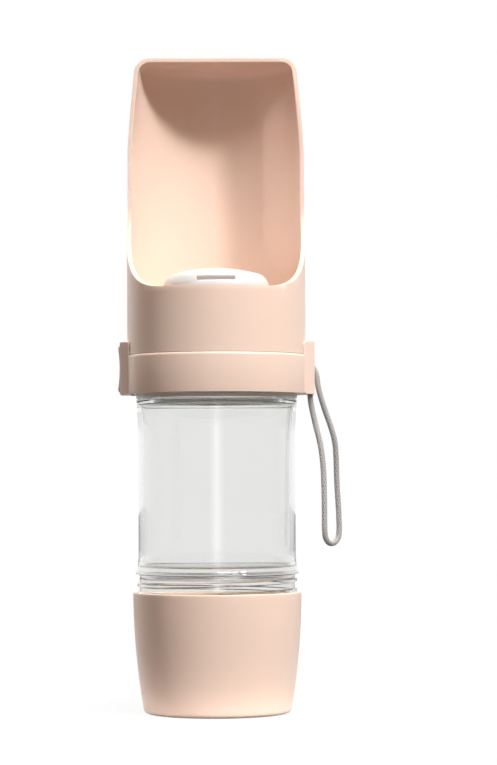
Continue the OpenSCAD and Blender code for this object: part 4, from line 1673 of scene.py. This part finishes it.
@dataclass
class Studio:
    """Camera, floor, world and lamps."""

    distance: float = 1.05
    camera_z: float = 0.0913
    focal_px: float = 2662.0
    frame_w: float = 497.0
    frame_h: float = 765.0
    axis_px: float = 216.5
    horizon_px: float = 480.0
    roll: float = -0.25
    floor_size: float = 12.0
    floor_shade: float = 0.86
    ring_shade: float = 0.88
    ring_inside: Point = (0.0285, 0.0305)
    ring_outside: Point = (0.033, 0.055)
    ambient: float = 0.14
    bounce: Colour = (1.0, 0.58, 0.30)

    def camera(self) -> None:
        """Puts the camera where the photograph was taken from."""
        lens = bpy.data.cameras.new("camera")
        lens.sensor_width = 36.0
        lens.lens = self.focal_px / self.frame_h * lens.sensor_width
        lens.clip_start, lens.clip_end = 0.05, 20.0
        camera = bpy.data.objects.new("camera", lens)
        camera.location = (0, -self.distance, self.camera_z)
        pitch = math.atan((self.horizon_px - self.frame_h / 2) / self.focal_px)
        yaw = math.atan((self.frame_w / 2 - self.axis_px) / self.focal_px)
        aim = Euler((math.pi / 2 + pitch, 0, -yaw)).to_matrix()
        roll = Matrix.Rotation(math.radians(self.roll), 3, "Z")
        camera.rotation_euler = (aim @ roll).to_euler()
        bpy.context.scene.collection.objects.link(camera)
        bpy.context.scene.camera = camera

    def floor(self) -> None:
        """Lays a pale floor that shows white and keeps the object's shadow."""
        clear_selection()
        bpy.ops.mesh.primitive_plane_add(size=self.floor_size, location=(0, 0, 0))
        floor = bpy.context.object
        floor.name = "floor"
        material, w, shader = start_material("pale floor")
        shader.inputs["Roughness"].default_value = 0.9
        path = w.node("LightPath").outputs
        place = w.node("SeparateXYZ", Vector=w.node("TexCoord").outputs["Object"])
        across = [w.math("MULTIPLY", axis, axis) for axis in place.outputs[:2]]
        away = w.math("SQRT", w.math("ADD", *across))
        # A pale ring round the foot throws light up onto it, and the rest throws little
        pale = w.math(
            "MINIMUM",
            w.spread(away, *self.ring_inside, 0.05, self.ring_shade),
            w.spread(away, *self.ring_outside, self.ring_shade, 0.04),
        )
        shown = w.math("MULTIPLY", path["Is Camera Ray"], self.floor_shade)
        shade = w.math("MAXIMUM", pale, shown)
        grey = w.node("CombineColor", Red=shade, Green=shade, Blue=shade)
        w.feed_all(shader, Base_Color=grey.outputs[0])
        # Its glow makes it white, a little less so near the foot, where the shadow lies
        mirrored = w.math("MULTIPLY", path["Is Glossy Ray"], w.spread(away, 0.3, 0.9, 1.0, 0.15))
        seen = w.math("MAXIMUM", path["Is Camera Ray"], path["Is Transmission Ray"])
        seen = w.math("MAXIMUM", seen, mirrored)
        glow = w.node("Emission", Color=(1.0, 1.0, 1.0, 1.0), Strength=1.0)
        share = w.math("MULTIPLY", seen, w.spread(away, 0.12, 0.45, 0.92, 1.0))
        w.show(share, shader, glow)
        floor.data.materials.append(material)

    def world(self) -> None:
        """Makes a surround that looks white, reflects darker in front, and lights faintly."""
        world = bpy.data.worlds.new("studio")
        world.use_nodes = True
        bpy.context.scene.world = world
        w = Wires(world.node_tree)
        path = w.node("LightPath").outputs
        way = w.node("SeparateXYZ", Vector=w.node("TexCoord").outputs["Generated"])
        depth = w.spread(way.outputs[1], 0.15, 0.65, 0.15, 1.0)
        bright = w.math("MULTIPLY", path["Is Glossy Ray"], depth)
        plain = w.math("MAXIMUM", path["Is Camera Ray"], path["Is Transmission Ray"])
        seen = w.math("MAXIMUM", bright, plain)
        diffuse = w.math("MULTIPLY", path["Is Diffuse Ray"], self.ambient)
        warm = w.mix(path["Is Diffuse Ray"], (1, 1, 1, 1), (*self.bounce, 1))
        strength = w.math("MAXIMUM", seen, diffuse)
        w.feed_all(world.node_tree.nodes["Background"], Strength=strength, Color=warm)

    def build(self) -> None:
        """Lays the floor and sets the world and the lamps."""
        self.floor()
        self.world()
        for lamp in LAMPS:
            lamp.place()


NODE_FINISHES = {
    "cup_seal": Finish.SILICONE,
    "neck_seal": Finish.SILICONE,
    "rod_seal": Finish.SILICONE,
    "outlet_gasket": Finish.SILICONE,
    "valve_plug": Finish.SILICONE,
    "valve_housing": Finish.WHITE,
    "valve_fork": Finish.WHITE,
    "valve_stem": Finish.WHITE,
    "housing_screws": Finish.STEEL,
    "push_rod": Finish.STEEL,
}


def main() -> None:
    """Builds the studio and every piece, and reports each one."""
    logging.basicConfig(level=logging.INFO, format="%(name)s: %(message)s")
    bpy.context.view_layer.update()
    scene = bpy.context.scene
    scene.view_settings.view_transform = "Standard"
    studio = Studio()
    studio.camera()
    sizes = Stack()
    cord = Lanyard(sizes).build()
    palette = Palette()
    palette.hand_over(cord, Finish.CORD, "head", "lanyard_cord")
    for maker in (FoodCup, WaterBottle, BottleCap, Collar, Button, Trough, OutletCover):
        maker(sizes).build(palette)
    ValveSpring().build(palette)
    for node, finish in NODE_FINISHES.items():
        palette.dress(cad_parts[node], finish)
        log.info("%s: CAD node in %s", node, finish.value)
    studio.build()


if __name__ == "__main__":
    main()
